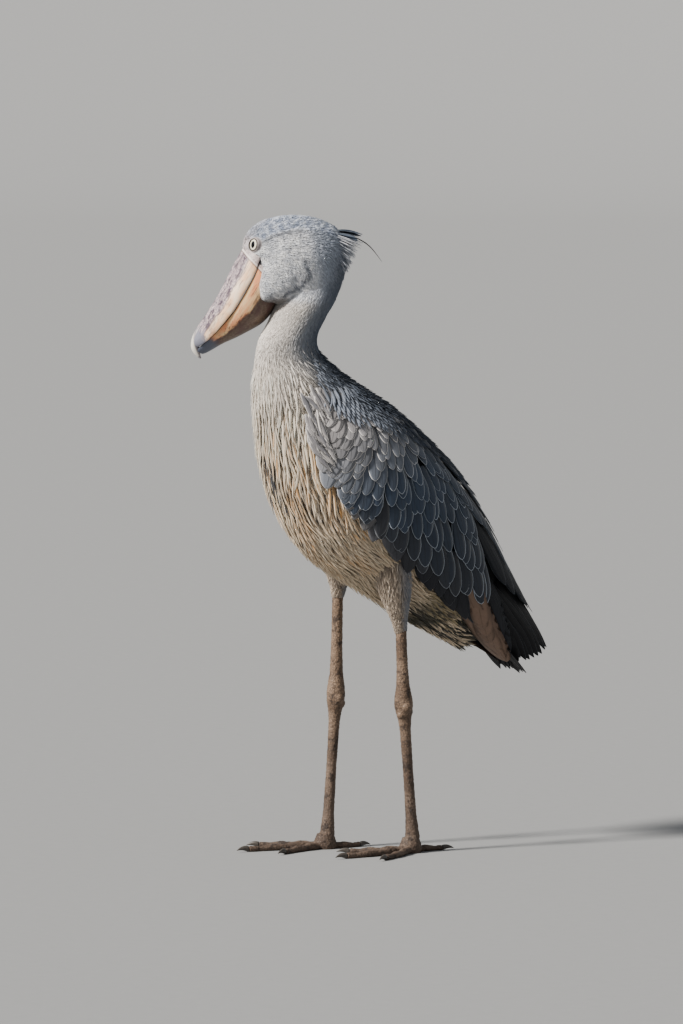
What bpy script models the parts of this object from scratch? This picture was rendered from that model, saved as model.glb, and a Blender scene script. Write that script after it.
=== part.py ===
"""A life-size shoebill standing at rest, head turned to its right and bill resting on the front of its neck.

Metres, +Z up. The bird faces -Y, its left side is at +X, and the soles of both feet are at Z = 0.
Each named part is one closed solid, and neighbours keep a gap of 0.3 mm.
"""

import math
import random

import bmesh
import bpy
from mathutils import Matrix, Vector

GAP = 0.0003
WELD = 0.00001
FLAT_ANGLE, FITTED_ANGLE = math.radians(1.2), math.radians(0.25)
SEED = 7

# The body from the top of the neck to the root of the tail. Each station is a section through the
# middle plane: its point on the back (y, z), its point on the breast or belly (y, z), its half width.
BODY = [
    (-0.086, 1.040, -0.198, 1.008, 0.056),
    (-0.099, 0.998, -0.216, 0.976, 0.056),
    (-0.121, 0.962, -0.230, 0.950, 0.052),
    (-0.138, 0.927, -0.247, 0.923, 0.050),
    (-0.131, 0.900, -0.254, 0.888, 0.055),
    (-0.101, 0.873, -0.256, 0.835, 0.076),
    (-0.053, 0.839, -0.249, 0.775, 0.096),
    (-0.008, 0.802, -0.237, 0.705, 0.112),
    (0.043, 0.754, -0.215, 0.638, 0.119),
    (0.096, 0.702, -0.178, 0.576, 0.119),
    (0.138, 0.645, -0.124, 0.520, 0.113),
    (0.170, 0.586, -0.060, 0.480, 0.100),
    (0.197, 0.531, 0.010, 0.437, 0.082),
    (0.221, 0.484, 0.078, 0.400, 0.060),
    (0.236, 0.448, 0.136, 0.371, 0.040),
    (0.243, 0.430, 0.176, 0.350, 0.022),
]
NECK_ROOT = 5.0
BODY_SIDES = 18

# The mean outer surface of the folded wings, in the same form, from the wrist to the wing tips.
WING = [
    (-0.074, 0.850, -0.250, 0.796, 0.094),
    (-0.041, 0.830, -0.240, 0.736, 0.114),
    (0.010, 0.798, -0.221, 0.681, 0.132),
    (0.066, 0.753, -0.194, 0.622, 0.140),
    (0.122, 0.702, -0.149, 0.567, 0.140),
    (0.167, 0.648, -0.088, 0.517, 0.134),
    (0.204, 0.591, -0.018, 0.471, 0.124),
    (0.234, 0.534, 0.051, 0.434, 0.110),
    (0.262, 0.483, 0.120, 0.398, 0.092),
    (0.290, 0.440, 0.179, 0.367, 0.070),
    (0.316, 0.402, 0.228, 0.342, 0.050),
    (0.340, 0.370, 0.272, 0.313, 0.035),
]

# Rows of long plumes over the breast: station of their tips, how many, length.
PLUME_ROWS = [(6.5, 5, 0.070), (7.1, 6, 0.092), (7.7, 7, 0.100), (8.5, 6, 0.100), (9.3, 5, 0.095)]

# The head turns about this upright axis, towards the bird's right.
HEAD_PIVOT = Vector((0.0, -0.153, 0.0))
HEAD_TURN = math.radians(-30)
SKULL_CENTRE = (0.020, 1.058)  # forward of the pivot, and height
SKULL_HALF_WIDTH = 0.061
# The outline of the feathered head in its own middle plane: degrees above straight ahead, radius.
SKULL_OUTLINE = [
    (-75, 0.078), (-60, 0.086), (-47, 0.104), (-35, 0.092), (-16, 0.076), (-3, 0.071), (6, 0.073),
    (14, 0.099), (24, 0.1030), (38, 0.1030), (50, 0.0985), (65, 0.0910), (80, 0.0875), (95, 0.0865),
    (110, 0.0885), (125, 0.0920), (138, 0.0955), (152, 0.0935), (166, 0.0910), (181, 0.0865),
    (196, 0.0845), (210, 0.0880), (223, 0.0910), (238, 0.0880), (254, 0.0780), (270, 0.0700),
]
# The side of the head is round, and fuller in the cheek below and behind the corner of the mouth.
ROUND_POWER, CHEEK_FULLNESS, CHEEK_DEGREES = 0.85, 0.62, -35
# Crest feathers: degrees on the outline, place out to the side and roll (degrees), length, width, droop.
CREST = [
    (137, 0, 0, 0.062, 0.013, 0.010), (137, 13, 35, 0.056, 0.012, 0.012), (137, -13, -35, 0.056, 0.012, 0.012),
    (143, 7, 20, 0.060, 0.012, 0.016), (143, -8, -20, 0.057, 0.012, 0.016), (150, 17, 55, 0.050, 0.012, 0.018),
    (150, -17, -55, 0.050, 0.012, 0.018), (153, 1, 80, 0.052, 0.013, 0.020), (142, 3, 10, 0.098, 0.0034, 0.062),
]
EYE_RADIUS = 0.0118
LID_RADIUS, LID_THICKNESS = 0.0092, 0.0024
EYE_PLACE = (23, math.radians(37.5))  # degrees on the outline, tip out to the side

# The bill lies along its own axis from the corner of the mouth.
GAPE = (0.0855, 1.0584)  # forward of the pivot, and height
BILL_PITCH = math.radians(60.3)  # below straight ahead
MOUTH_GAP = 0.0010
# Along the axis: ridge height, mouth line height, half width.
UPPER_BILL = [
    (-0.022, 0.037, 0.003, 0.040),
    (-0.005, 0.0382, 0.001, 0.0445),
    (0.015, 0.0386, -0.003, 0.0475),
    (0.037, 0.0377, -0.004, 0.050),
    (0.063, 0.036, -0.0038, 0.052),
    (0.093, 0.0356, -0.0035, 0.050),
    (0.120, 0.0367, 0.0005, 0.045),
    (0.145, 0.0388, 0.0055, 0.038),
    (0.163, 0.0395, 0.0105, 0.030),
    (0.176, 0.0372, 0.017, 0.0205),
    (0.184, 0.0335, 0.0225, 0.010),
]
# Along the axis: mouth line height, underside height, half width.
LOWER_BILL = [
    (0.002, -0.001, -0.052, 0.034),
    (0.020, -0.004, -0.062, 0.040),
    (0.045, -0.004, -0.065, 0.044),
    (0.070, -0.004, -0.064, 0.0455),
    (0.092, -0.0035, -0.058, 0.0440),
    (0.112, -0.0005, -0.046, 0.0400),
    (0.135, 0.0035, -0.031, 0.0340),
    (0.155, 0.0080, -0.016, 0.0270),
    (0.172, 0.0140, -0.006, 0.0190),
    (0.185, 0.0180, 0.002, 0.0110),
    (0.191, 0.0160, 0.008, 0.0050),
]
# Nostril: along the axis, height, out from the middle, and half sizes along, up and across.
NOSTRIL = (0.022, 0.0300, 0.0125, (0.0085, 0.0032, 0.0016))
# The nail that caps and hooks over the bill's tip: along the axis, height, half width, half thickness.
HOOK = [
    (0.146, 0.0346, 0.0090, 0.0030),
    (0.160, 0.0362, 0.0125, 0.0050),
    (0.173, 0.0348, 0.0130, 0.0070),
    (0.184, 0.0290, 0.0105, 0.0080),
    (0.1915, 0.0210, 0.0075, 0.0065),
    (0.1965, 0.0130, 0.0045, 0.0042),
    (0.2000, 0.0055, 0.0014, 0.0014),
]

# Each leg from the feathered thigh to the sole, for the left (near) and right side.
LEGS = {
    "left": {
        "hip": Vector((0.058, -0.020, 0.545)),
        "knee": Vector((0.062, -0.004, 0.455)),
        "cuff": Vector((0.062, 0.005, 0.395)),
        "hock": Vector((0.064, 0.009, 0.270)),
        "ankle": Vector((0.064, 0.028, 0.026)),
        "heading": math.radians(8),
    },
    "right": {
        "hip": Vector((-0.058, -0.056, 0.550)),
        "knee": Vector((-0.062, -0.051, 0.500)),
        "cuff": Vector((-0.063, -0.054, 0.452)),
        "hock": Vector((-0.064, -0.057, 0.278)),
        "ankle": Vector((-0.066, -0.074, 0.026)),
        "heading": math.radians(-10),
    },
}
# A limb is built past its end by this share of its run, then cut off level.
OVERRUN = 0.02
HOCK_HEIGHT = 0.030
# Toes: turn from straight ahead (outwards), length without the claw, radius at the root.
TOES = {
    "inner": (-30, 0.105, 0.0085),
    "middle": (0, 0.140, 0.0090),
    "outer": (30, 0.115, 0.0085),
    "hind": (176, 0.062, 0.0080),
}
CLAW_LENGTH = 0.024
TAIL_FEATHERS = 12
TAIL_LENGTH = 0.150
TAIL_FAN = math.radians(13)

COLOURS = {
    "slate": ((0.20, 0.24, 0.29), 0.75),
    "grey_feather": ((0.42, 0.43, 0.45), 0.85),
    "breast": ((0.55, 0.50, 0.44), 0.85),
    "flight": ((0.09, 0.10, 0.12), 0.7),
    "horn": ((0.62, 0.48, 0.38), 0.5),
    "nail": ((0.70, 0.66, 0.60), 0.45),
    "eye": ((0.80, 0.76, 0.62), 0.1),
    "skin": ((0.30, 0.25, 0.21), 0.7),
    "claw": ((0.10, 0.09, 0.08), 0.5),
}


def empty_scene():
    for obj in list(bpy.data.objects):
        bpy.data.objects.remove(obj, do_unlink=True)


def make_collection(name):
    made = bpy.data.collections.new(name)
    bpy.context.scene.collection.children.link(made)
    return made


def smooth_at(rows, s):
    """The row at the fractional place s, on a smooth curve through all rows."""
    last = len(rows) - 1
    s = min(max(s, 0.0), last - 1e-9)
    i = int(s)
    t = s - i
    a, b, c, d = (rows[min(max(k, 0), last)] for k in (i - 1, i, i + 1, i + 2))
    return [
        0.5 * (2 * q + (r - p) * t + (2 * p - 5 * q + 4 * r - u) * t * t + (3 * q - p - 3 * r + u) * t ** 3)
        for p, q, r, u in zip(a, b, c, d)
    ]


def section_point(rows, s, angle):
    """Angle 0 is the back, 90 degrees the left flank, 180 degrees the belly."""
    back_y, back_z, belly_y, belly_z, half_width = smooth_at(rows, s)
    centre = Vector((0, (back_y + belly_y) / 2, (back_z + belly_z) / 2))
    up = Vector((0, (back_y - belly_y) / 2, (back_z - belly_z) / 2))
    return centre + up * math.cos(angle) + Vector((half_width * math.sin(angle), 0, 0))


def surface_normal(rows, s, angle):
    step = 0.02
    along = section_point(rows, s + step, angle) - section_point(rows, s - step, angle)
    around = section_point(rows, s, angle + step) - section_point(rows, s, angle - step)
    return around.cross(along).normalized()


def lifted(rows, s, angle, height):
    return section_point(rows, s, angle) + surface_normal(rows, s, angle) * height


def mesh_object(name, points, faces):
    mesh = bpy.data.meshes.new(name)
    mesh.from_pydata([tuple(p) for p in points], [], faces)
    obj = bpy.data.objects.new(name, mesh)
    bpy.context.scene.collection.objects.link(obj)
    bm = bmesh.new()
    bm.from_mesh(mesh)
    bmesh.ops.recalc_face_normals(bm, faces=bm.faces[:])
    bm.to_mesh(mesh)
    bm.free()
    return obj


def loft(name, rings):
    """A closed skin over rings of equally many points, each end closed by a fan."""
    sides = len(rings[0])
    points = [p for ring in rings for p in ring]
    faces = []
    for i in range(len(rings) - 1):
        for j in range(sides):
            k = (j + 1) % sides
            a, b = i * sides + j, i * sides + k
            faces += [(a, b, b + sides), (a, b + sides, a + sides)]
    for first, ring in ((0, rings[0]), ((len(rings) - 1) * sides, rings[-1])):
        hub = len(points)
        points.append(sum((Vector(p) for p in ring), Vector()) / sides)
        faces += [(hub, first + j, first + (j + 1) % sides) for j in range(sides)]
    return mesh_object(name, points, faces)


def evaluated_mesh(obj):
    bpy.context.view_layer.update()
    return bpy.data.meshes.new_from_object(obj.evaluated_get(bpy.context.evaluated_depsgraph_get()))


def apply_modifiers(obj):
    mesh = evaluated_mesh(obj)
    obj.modifiers.clear()
    obj.data = mesh


def keep_largest(obj, flat_angle):
    """Drops a sealed hollow or a loose scrap that a Boolean leaves, and joins its flat splinters."""
    bm = bmesh.new()
    bm.from_mesh(obj.data)
    bmesh.ops.remove_doubles(bm, verts=bm.verts[:], dist=WELD)
    left = set(bm.faces)
    shells = []
    while left:
        stack = [left.pop()]
        shell = set(stack)
        while stack:
            for edge in stack.pop().edges:
                for face in edge.link_faces:
                    if face in left:
                        left.discard(face)
                        shell.add(face)
                        stack.append(face)
        shells.append(shell)
    shells.sort(key=lambda shell: -sum(face.calc_area() for face in shell))
    for shell in shells[1:]:
        bmesh.ops.delete(bm, geom=list(shell), context="FACES")
    bmesh.ops.dissolve_limit(bm, angle_limit=flat_angle, verts=bm.verts[:], edges=bm.edges[:])
    bmesh.ops.triangulate(bm, faces=bm.faces[:])
    bm.to_mesh(obj.data)
    bm.free()


def fuse(name, pieces, solver="EXACT"):
    """One closed solid from overlapping closed pieces."""
    joined = bpy.data.collections.new("joined")
    for piece in pieces[1:]:
        joined.objects.link(piece)
    base = pieces[0]
    union = base.modifiers.new("union", "BOOLEAN")
    union.operation = "UNION"
    union.operand_type = "COLLECTION"
    union.solver = solver
    union.collection = joined
    apply_modifiers(base)
    for piece in pieces[1:]:
        bpy.data.objects.remove(piece, do_unlink=True)
    bpy.data.collections.remove(joined)
    keep_largest(base, FLAT_ANGLE)
    base.name = name
    return base


def cut(obj, cutter):
    """Takes the cutter out of the object, and removes the cutter."""
    difference = obj.modifiers.new("cut", "BOOLEAN")
    difference.operation = "DIFFERENCE"
    difference.solver = "EXACT"
    difference.object = cutter
    apply_modifiers(obj)
    bpy.data.objects.remove(cutter, do_unlink=True)
    keep_largest(obj, FITTED_ANGLE)


def grown_copy(obj, by):
    """A copy whose surface stands off by this much."""
    copy = bpy.data.objects.new(obj.name + "_grown", obj.data.copy())
    bpy.context.scene.collection.objects.link(copy)
    bm = bmesh.new()
    bm.from_mesh(copy.data)
    bm.normal_update()
    shift = {v: v.normal * by * min(v.calc_shell_factor(), 2.0) for v in bm.verts}
    for vert, move in shift.items():
        vert.co += move
    bm.to_mesh(copy.data)
    bm.free()
    return copy


def keep_clear(obj, *others):
    for other in others:
        cut(obj, grown_copy(other, GAP))


def cut_level(obj, height, keep="above"):
    """Cuts the solid off level at this height, as where a foot bears on the ground."""
    bm = bmesh.new()
    bm.from_mesh(obj.data)
    geometry = bm.verts[:] + bm.edges[:] + bm.faces[:]
    lost_side = -1 if keep == "above" else 1
    made = bmesh.ops.bisect_plane(
        bm, geom=geometry, plane_co=(0, 0, height), plane_no=(0, 0, lost_side), clear_outer=True
    )
    rim = [e for e in made["geom_cut"] if isinstance(e, bmesh.types.BMEdge)]
    bmesh.ops.triangle_fill(bm, edges=rim, use_beauty=True)
    bmesh.ops.recalc_face_normals(bm, faces=bm.faces[:])
    bm.to_mesh(obj.data)
    bm.free()


def tube(name, points, radii, sides, depth_ratio=1.0, side_axis=None):
    """A round limb through the points. depth_ratio stretches it across side_axis."""
    rings = []
    for i, point in enumerate(points):
        ahead = points[min(i + 1, len(points) - 1)] - points[max(i - 1, 0)]
        ahead.normalize()
        side = (side_axis or Vector((1, 0, 0))).copy()
        side = (side - ahead * side.dot(ahead)).normalized()
        front = ahead.cross(side)
        rings.append([
            point
            + side * math.cos(2 * math.pi * j / sides) * radii[i]
            + front * math.sin(2 * math.pi * j / sides) * radii[i] * depth_ratio
            for j in range(sides)
        ])
    return loft(name, rings)


VANE_OUTLINE = {
    "round": [(0.0, 0.55), (0.38, 0.95), (0.70, 1.0), (0.90, 0.74), (1.0, 0.28)],
    "long": [(0.0, 0.62), (0.30, 0.96), (0.68, 1.0), (0.92, 0.66), (1.0, 0.18)],
    "plume": [(0.0, 0.55), (0.35, 1.0), (0.72, 0.72), (1.0, 0.10)],
}


def vane(name, edges_at, outline, thickness):
    """One feather: a thin blade whose two faces are split into triangles alike.

    edges_at(t, width_share) gives the blade's two edge points and its outward normal."""
    points, faces = [], []
    rows = VANE_OUTLINE[outline]
    for t, share in rows:
        one, other, normal = edges_at(t, share)
        half = normal * thickness / 2 * (1.0 if t < 0.9 else 0.75)
        points += [one + half, other + half, other - half, one - half]
    for i in range(len(rows) - 1):
        a, b = 4 * i, 4 * i + 4
        faces += [(a, a + 1, b + 1), (a, b + 1, b)]
        faces += [(a + 3, b + 2, a + 2), (a + 3, b + 3, b + 2)]
        faces += [(a + 1, a + 2, b + 2), (a + 1, b + 2, b + 1)]
        faces += [(a, b, b + 3), (a, b + 3, a + 3)]
    end = 4 * (len(rows) - 1)
    faces += [(0, 3, 2), (0, 2, 1), (end, end + 1, end + 2), (end, end + 2, end + 3)]
    return mesh_object(name, points, faces)


def beyond(rows, s, angle, height):
    """A point over the surface, which is carried straight on past its last station."""
    last = len(rows) - 1.001
    if s <= last:
        return lifted(rows, s, angle, height)
    rate = (section_point(rows, last, angle) - section_point(rows, last - 0.5, angle)) / 0.5
    return lifted(rows, last, angle, height) + rate * (s - last)


def surface_rates(rows, s, angle):
    """Metres over the surface for one station and for one radian, at this place."""
    step = 0.02
    s = min(max(s, step), len(rows) - 1.001 - step)
    along = section_point(rows, s + step, angle) - section_point(rows, s - step, angle)
    around = section_point(rows, s, angle + step) - section_point(rows, s, angle - step)
    return along.length / (2 * step), around.length / (2 * step)


def surface_vane(name, rows, tip, lies, length, width, outline, heights, shingle, thickness):
    """A feather laid over a surface, worked back from its tip (station, angle).

    lies are its turns at root and tip, in degrees from the tailward direction towards the belly.
    heights are those of root and tip over the surface. The edge on the back's side stands up by
    shingle and the other lies lower by as much, so that neighbours overlap without crossing."""
    samples = 12
    path = [tip]
    for i in range(samples):
        s, angle = path[-1]
        per_s, per_a = surface_rates(rows, s, angle)
        turn = math.radians(lies[1] + (lies[0] - lies[1]) * i / samples)
        path.append((
            s - length / samples * math.cos(turn) / per_s,
            angle - length / samples * math.sin(turn) / per_a,
        ))
    path.reverse()

    def at(t):
        i = min(int(t * samples), samples - 1)
        f = t * samples - i
        s = path[i][0] + (path[i + 1][0] - path[i][0]) * f
        angle = path[i][1] + (path[i + 1][1] - path[i][1]) * f
        return s, angle, heights[0] + (heights[1] - heights[0]) * t

    def edges_at(t, share):
        s, angle, height = at(t)
        here = beyond(rows, s, angle, height)
        ahead = (beyond(rows, *at(min(t + 0.04, 1.0))) - beyond(rows, *at(max(t - 0.04, 0.0)))).normalized()
        normal = surface_normal(rows, min(s, len(rows) - 1.05), angle)
        to_back = normal.cross(ahead).normalized()
        half = width / 2 * share
        sag = half * half / (2 * max(surface_rates(rows, s, angle)[1], 0.02))
        back_edge = here + to_back * half + normal * (shingle * share - sag)
        belly_edge = here - to_back * half - normal * (shingle * share + sag)
        return back_edge, belly_edge, normal

    return vane(name, edges_at, outline, thickness)


def body_rings(first, last, count, sides=BODY_SIDES):
    rings = []
    for i in range(count):
        s = first + (last - first) * i / (count - 1)
        rings.append([section_point(BODY, s, 2 * math.pi * j / sides) for j in range(sides)])
    return rings


def head_matrix():
    return Matrix.Translation(HEAD_PIVOT) @ Matrix.Rotation(HEAD_TURN, 4, "Z")


def head_place(side, forward, height):
    """A place in the head's own directions: to its left, forward of the pivot, and height."""
    return head_matrix() @ Vector((side, -forward, height))


def outline_radius(degrees):
    """Radius of the head's outline at this angle, smoothly between the listed ones."""
    rows = SKULL_OUTLINE
    wrapped = [(a - 360, r) for a, r in rows] + rows + [(a + 360, r) for a, r in rows]
    for (a0, r0), (a1, r1) in zip(wrapped, wrapped[1:]):
        if a0 <= degrees <= a1:
            t = (degrees - a0) / (a1 - a0)
            t = t * t * (3 - 2 * t)
            return r0 + (r1 - r0) * t
    return rows[0][1]


def skull_point(degrees, tip):
    """The head's surface: degrees round the middle plane, and tip from it out to the side."""
    below = max(0.0, math.cos(math.radians((degrees - CHEEK_DEGREES) * 1.5))) if degrees < 40 else 0.0
    radius = outline_radius(degrees) * math.cos(tip) ** (ROUND_POWER - CHEEK_FULLNESS * below)
    forward = SKULL_CENTRE[0] + radius * math.cos(math.radians(degrees))
    height = SKULL_CENTRE[1] + radius * math.sin(math.radians(degrees))
    return head_place(SKULL_HALF_WIDTH * math.sin(tip), forward, height)


def make_skull():
    around, across = len(SKULL_OUTLINE), 13
    points, faces = [], []
    for i in range(1, across):
        tip = -math.pi / 2 + math.pi * i / across
        points += [skull_point(degrees, tip) for degrees, _ in SKULL_OUTLINE]
    for i in range(across - 2):
        for j in range(around):
            k = (j + 1) % around
            a, b = i * around + j, i * around + k
            faces += [(a, b, b + around), (a, b + around, a + around)]
    for first, tip in ((0, -1), ((across - 2) * around, 1)):
        hub = len(points)
        points.append(head_place(SKULL_HALF_WIDTH * tip, *SKULL_CENTRE))
        faces += [(hub, first + j, first + (j + 1) % around) for j in range(around)]
    return mesh_object("skull", points, faces)


def eye_seat(side):
    """Centre and outward direction of the eyeball on this side (+1 left, -1 right)."""
    degrees, tip = EYE_PLACE
    place = skull_point(degrees, side * tip)
    step = 0.05
    along = skull_point(degrees + math.degrees(step), side * tip) - skull_point(degrees, side * tip)
    across = skull_point(degrees, side * (tip + step)) - place
    outward = along.cross(across).normalized()
    if outward.dot(place - head_place(0, *SKULL_CENTRE)) < 0:
        outward = -outward
    return place - outward * (EYE_RADIUS * 0.70), outward


def sphere(name, centre, radius, segments, rings):
    bpy.ops.mesh.primitive_uv_sphere_add(segments=segments, ring_count=rings, radius=radius, location=centre)
    obj = bpy.context.object
    obj.name = name
    obj.data.transform(Matrix.Translation(obj.location))
    obj.location = (0, 0, 0)
    return obj


def box(name, low, high):
    bpy.ops.mesh.primitive_cube_add(size=1.0)
    obj = bpy.context.object
    obj.name = name
    size = high - low
    obj.data.transform(Matrix.Translation((low + high) / 2) @ Matrix.Diagonal((*size, 1.0)))
    return obj


def lid_ring(seat, outward):
    """The bare rim round the eye."""
    bpy.ops.mesh.primitive_torus_add(
        major_segments=12, minor_segments=5, major_radius=LID_RADIUS, minor_radius=LID_THICKNESS
    )
    ring = bpy.context.object
    turn = Vector((0, 0, 1)).rotation_difference(outward).to_matrix().to_4x4()
    height = math.sqrt(EYE_RADIUS ** 2 - LID_RADIUS ** 2)
    ring.data.transform(Matrix.Translation(seat + outward * height) @ turn)
    return ring


def crest_feather(name, degrees, side, roll, length, width, droop):
    """A nape feather that sweeps back from the head and droops."""
    side, roll = math.radians(side), math.radians(roll)
    root = skull_point(degrees, side)
    out = (root - head_place(0, *SKULL_CENTRE)).normalized()
    back = (head_place(0, -1, 0) - head_place(0, 0, 0)).normalized()
    leftward = (head_place(1, 0, 0) - head_place(0, 0, 0)).normalized()
    direction = (back + out * 0.30 + leftward * math.sin(side) * 0.8 + Vector((0, 0, -0.12))).normalized()
    start = root - direction * 0.012

    def edges_at(t, share):
        here = start + direction * length * t + Vector((0, 0, -droop)) * t * t
        ahead = (direction * length + Vector((0, 0, -2 * droop * t))).normalized()
        across = Matrix.Rotation(roll, 3, ahead) @ (leftward - ahead * leftward.dot(ahead)).normalized()
        normal = across.cross(ahead).normalized()
        half = width / 2 * share
        return here - across * half, here + across * half, normal

    return vane(name, edges_at, "plume", 0.0011)


def make_head(shades):
    """The feathered head with its lids and crest, the eyes, and the head without crest and sockets."""
    seats = [(side, *eye_seat(side)) for side in (1, -1)]
    plain = fuse("plain_head", [make_skull()] + [lid_ring(seat, outward) for _, seat, outward in seats])
    crest = [crest_feather(f"crest_{i}", *row) for i, row in enumerate(CREST)]
    head = fuse("head", [grown_copy(plain, 0.0)] + crest)
    for side, seat, _ in seats:
        cut(head, sphere("socket", seat, EYE_RADIUS + GAP, 10, 7))
        eye = sphere("eye_left" if side > 0 else "eye_right", seat, EYE_RADIUS, 10, 7)
        finish(eye, "eye", shades)
    finish(head, "grey_feather", shades)
    return plain


def bill_place(along, height, side):
    """A place on the bill: along its axis from the gape, towards its ridge, and to its left."""
    forward = GAPE[0] + along * math.cos(BILL_PITCH) + height * math.sin(BILL_PITCH)
    up = GAPE[1] - along * math.sin(BILL_PITCH) + height * math.cos(BILL_PITCH)
    return head_place(side, forward, up)


def upper_section(along, ridge, mouth, half_width):
    """Half round, with a raised ridge between two grooves, and a shallow palate."""
    deep = ridge - mouth
    half = [
        (0.0, ridge),
        (min(0.007, half_width * 0.4), ridge - deep * 0.02),
        (min(0.012, half_width * 0.6), ridge - deep * 0.17),
        (half_width * 0.58, ridge - deep * 0.22),
        (half_width * 0.88, ridge - deep * 0.48),
        (half_width, mouth + deep * 0.22),
        (half_width * 0.97, mouth + MOUTH_GAP / 2),
        (half_width * 0.5, mouth + MOUTH_GAP / 2 + 0.0005),
    ]
    ring = [bill_place(along, h, x) for x, h in half]
    ring.append(bill_place(along, mouth + MOUTH_GAP / 2 + 0.0005, 0.0))
    ring += [bill_place(along, h, -x) for x, h in reversed(half[1:])]
    return ring


def lower_section(along, mouth, under, half_width):
    """A deep keel with an upright side band along the mouth."""
    deep = mouth - under
    half = [
        (0.0, mouth - MOUTH_GAP / 2),
        (half_width * 0.6, mouth - MOUTH_GAP / 2),
        (half_width * 0.97, mouth - MOUTH_GAP / 2),
        (half_width, mouth - deep * 0.22),
        (half_width * 0.94, mouth - deep * 0.45),
        (half_width * 0.72, mouth - deep * 0.72),
        (half_width * 0.40, mouth - deep * 0.93),
    ]
    ring = [bill_place(along, h, x) for x, h in half]
    ring.append(bill_place(along, under, 0.0))
    ring += [bill_place(along, h, -x) for x, h in reversed(half[1:])]
    return ring


def interpolated(rows, count):
    last = len(rows) - 1
    return [smooth_at(rows, last * i / (count - 1)) for i in range(count)]


def nostril_slit(side):
    """A narrow slit beside the ridge, near the bill's base."""
    run = (bill_place(1, 0, 0) - bill_place(0, 0, 0)).normalized()
    rise = (bill_place(0, 1, 0) - bill_place(0, 0, 0)).normalized()
    turn = Matrix((run, rise, run.cross(rise))).transposed().to_4x4()
    along, height, out, sizes = NOSTRIL
    slit = sphere("nostril", Vector((0, 0, 0)), 1.0, 8, 5)
    place = Matrix.Translation(bill_place(along, height, side * out))
    slit.data.transform(place @ turn @ Matrix.Diagonal((*sizes, 1.0)))
    return slit


def make_bill(head, neck, shades):
    hook_rings = []
    for i, (along, height, half_width, half_thick) in enumerate(HOOK):
        after, before = HOOK[min(i + 1, len(HOOK) - 1)], HOOK[max(i - 1, 0)]
        run, rise = after[0] - before[0], after[1] - before[1]
        size = math.hypot(run, rise)
        run, rise = run / size, rise / size
        ring = []
        for j in range(10):
            a = 2 * math.pi * j / 10
            thick = math.cos(a) * half_thick
            ring.append(bill_place(along - rise * thick, height + run * thick, math.sin(a) * half_width))
        hook_rings.append(ring)
    hook = loft("bill_hook", hook_rings)

    upper = loft("upper_bill", [upper_section(*row) for row in interpolated(UPPER_BILL, 14)])
    lower = loft("lower_bill", [lower_section(*row) for row in interpolated(LOWER_BILL, 13)])
    for side in (1, -1):
        cut(upper, nostril_slit(side))
    keep_clear(upper, head, hook)
    keep_clear(lower, head, hook, neck)
    finish(hook, "nail", shades)
    finish(upper, "horn", shades)
    finish(lower, "horn", shades)


def make_neck(head, shades):
    step = 0.006
    neck = loft("neck", body_rings(0.3, NECK_ROOT - step, 9))
    keep_clear(neck, head)
    finish(neck, "grey_feather", shades)
    return neck


def make_torso(shades):
    """The trunk, with the long pointed plumes that hang over the breast."""
    draw = random.Random(SEED)
    trunk = loft("trunk", body_rings(NECK_ROOT, len(BODY) - 1, 13))
    pieces = [trunk]
    for r, (station, count, length) in enumerate(PLUME_ROWS):
        for i in range(count):
            spread = (i - (count - 1) / 2) / (count - 1)
            angle = math.pi + spread * math.radians(100)
            tip = (station + draw.uniform(-0.15, 0.15), angle + draw.uniform(-0.04, 0.04))
            lie = -spread * 16 + draw.uniform(-5, 5)
            pieces.append(surface_vane(
                f"plume_{r}_{i}", BODY, tip, (lie, lie), length * draw.uniform(0.9, 1.1),
                0.0175, "plume", (-0.004, 0.0055), 0.0004, 0.0014,
            ))
    torso = fuse("torso", pieces)
    finish(torso, "breast", shades)
    return torso


def make_thigh(side, leg, torso, shades):
    hip, knee, cuff = leg["hip"], leg["knee"], leg["cuff"]
    points = [hip, hip.lerp(knee, 0.5), knee, knee.lerp(cuff, 0.55), cuff + (cuff - knee) * OVERRUN]
    thigh = tube(f"thigh_{side}", points, [0.040, 0.036, 0.0265, 0.0170, 0.0124], 14, 1.15)
    cut_level(thigh, cuff.z)
    keep_clear(thigh, torso)
    finish(thigh, "breast", shades)
    return thigh


def make_leg(side, leg, shades):
    cuff, hock, ankle = leg["cuff"], leg["hock"], leg["ankle"]
    run = hock - cuff
    joint = hock - run.normalized() * HOCK_HEIGHT
    shank = tube(
        f"shank_{side}",
        [cuff - run * OVERRUN, cuff.lerp(joint, 0.4), cuff.lerp(joint, 0.8), joint + run * OVERRUN],
        [0.0112, 0.0100, 0.0108, 0.0134], 12, 1.1,
    )
    cut_level(shank, cuff.z - GAP, "below")
    cut_level(shank, joint.z)
    finish(shank, "skin", shades)
    run = ankle - hock
    tarsus = tube(
        f"tarsus_{side}",
        [joint - run * OVERRUN, hock + run * -0.06, hock, hock + run * 0.055, hock + run * 0.11,
         hock + run * 0.5, hock + run * 0.86, ankle + run * OVERRUN],
        [0.0132, 0.0160, 0.0170, 0.0155, 0.0112, 0.0091, 0.0100, 0.0140], 12, 1.1,
    )
    cut_level(tarsus, joint.z - GAP, "below")
    cut_level(tarsus, ankle.z)
    finish(tarsus, "skin", shades)
    return shank, tarsus


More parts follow.
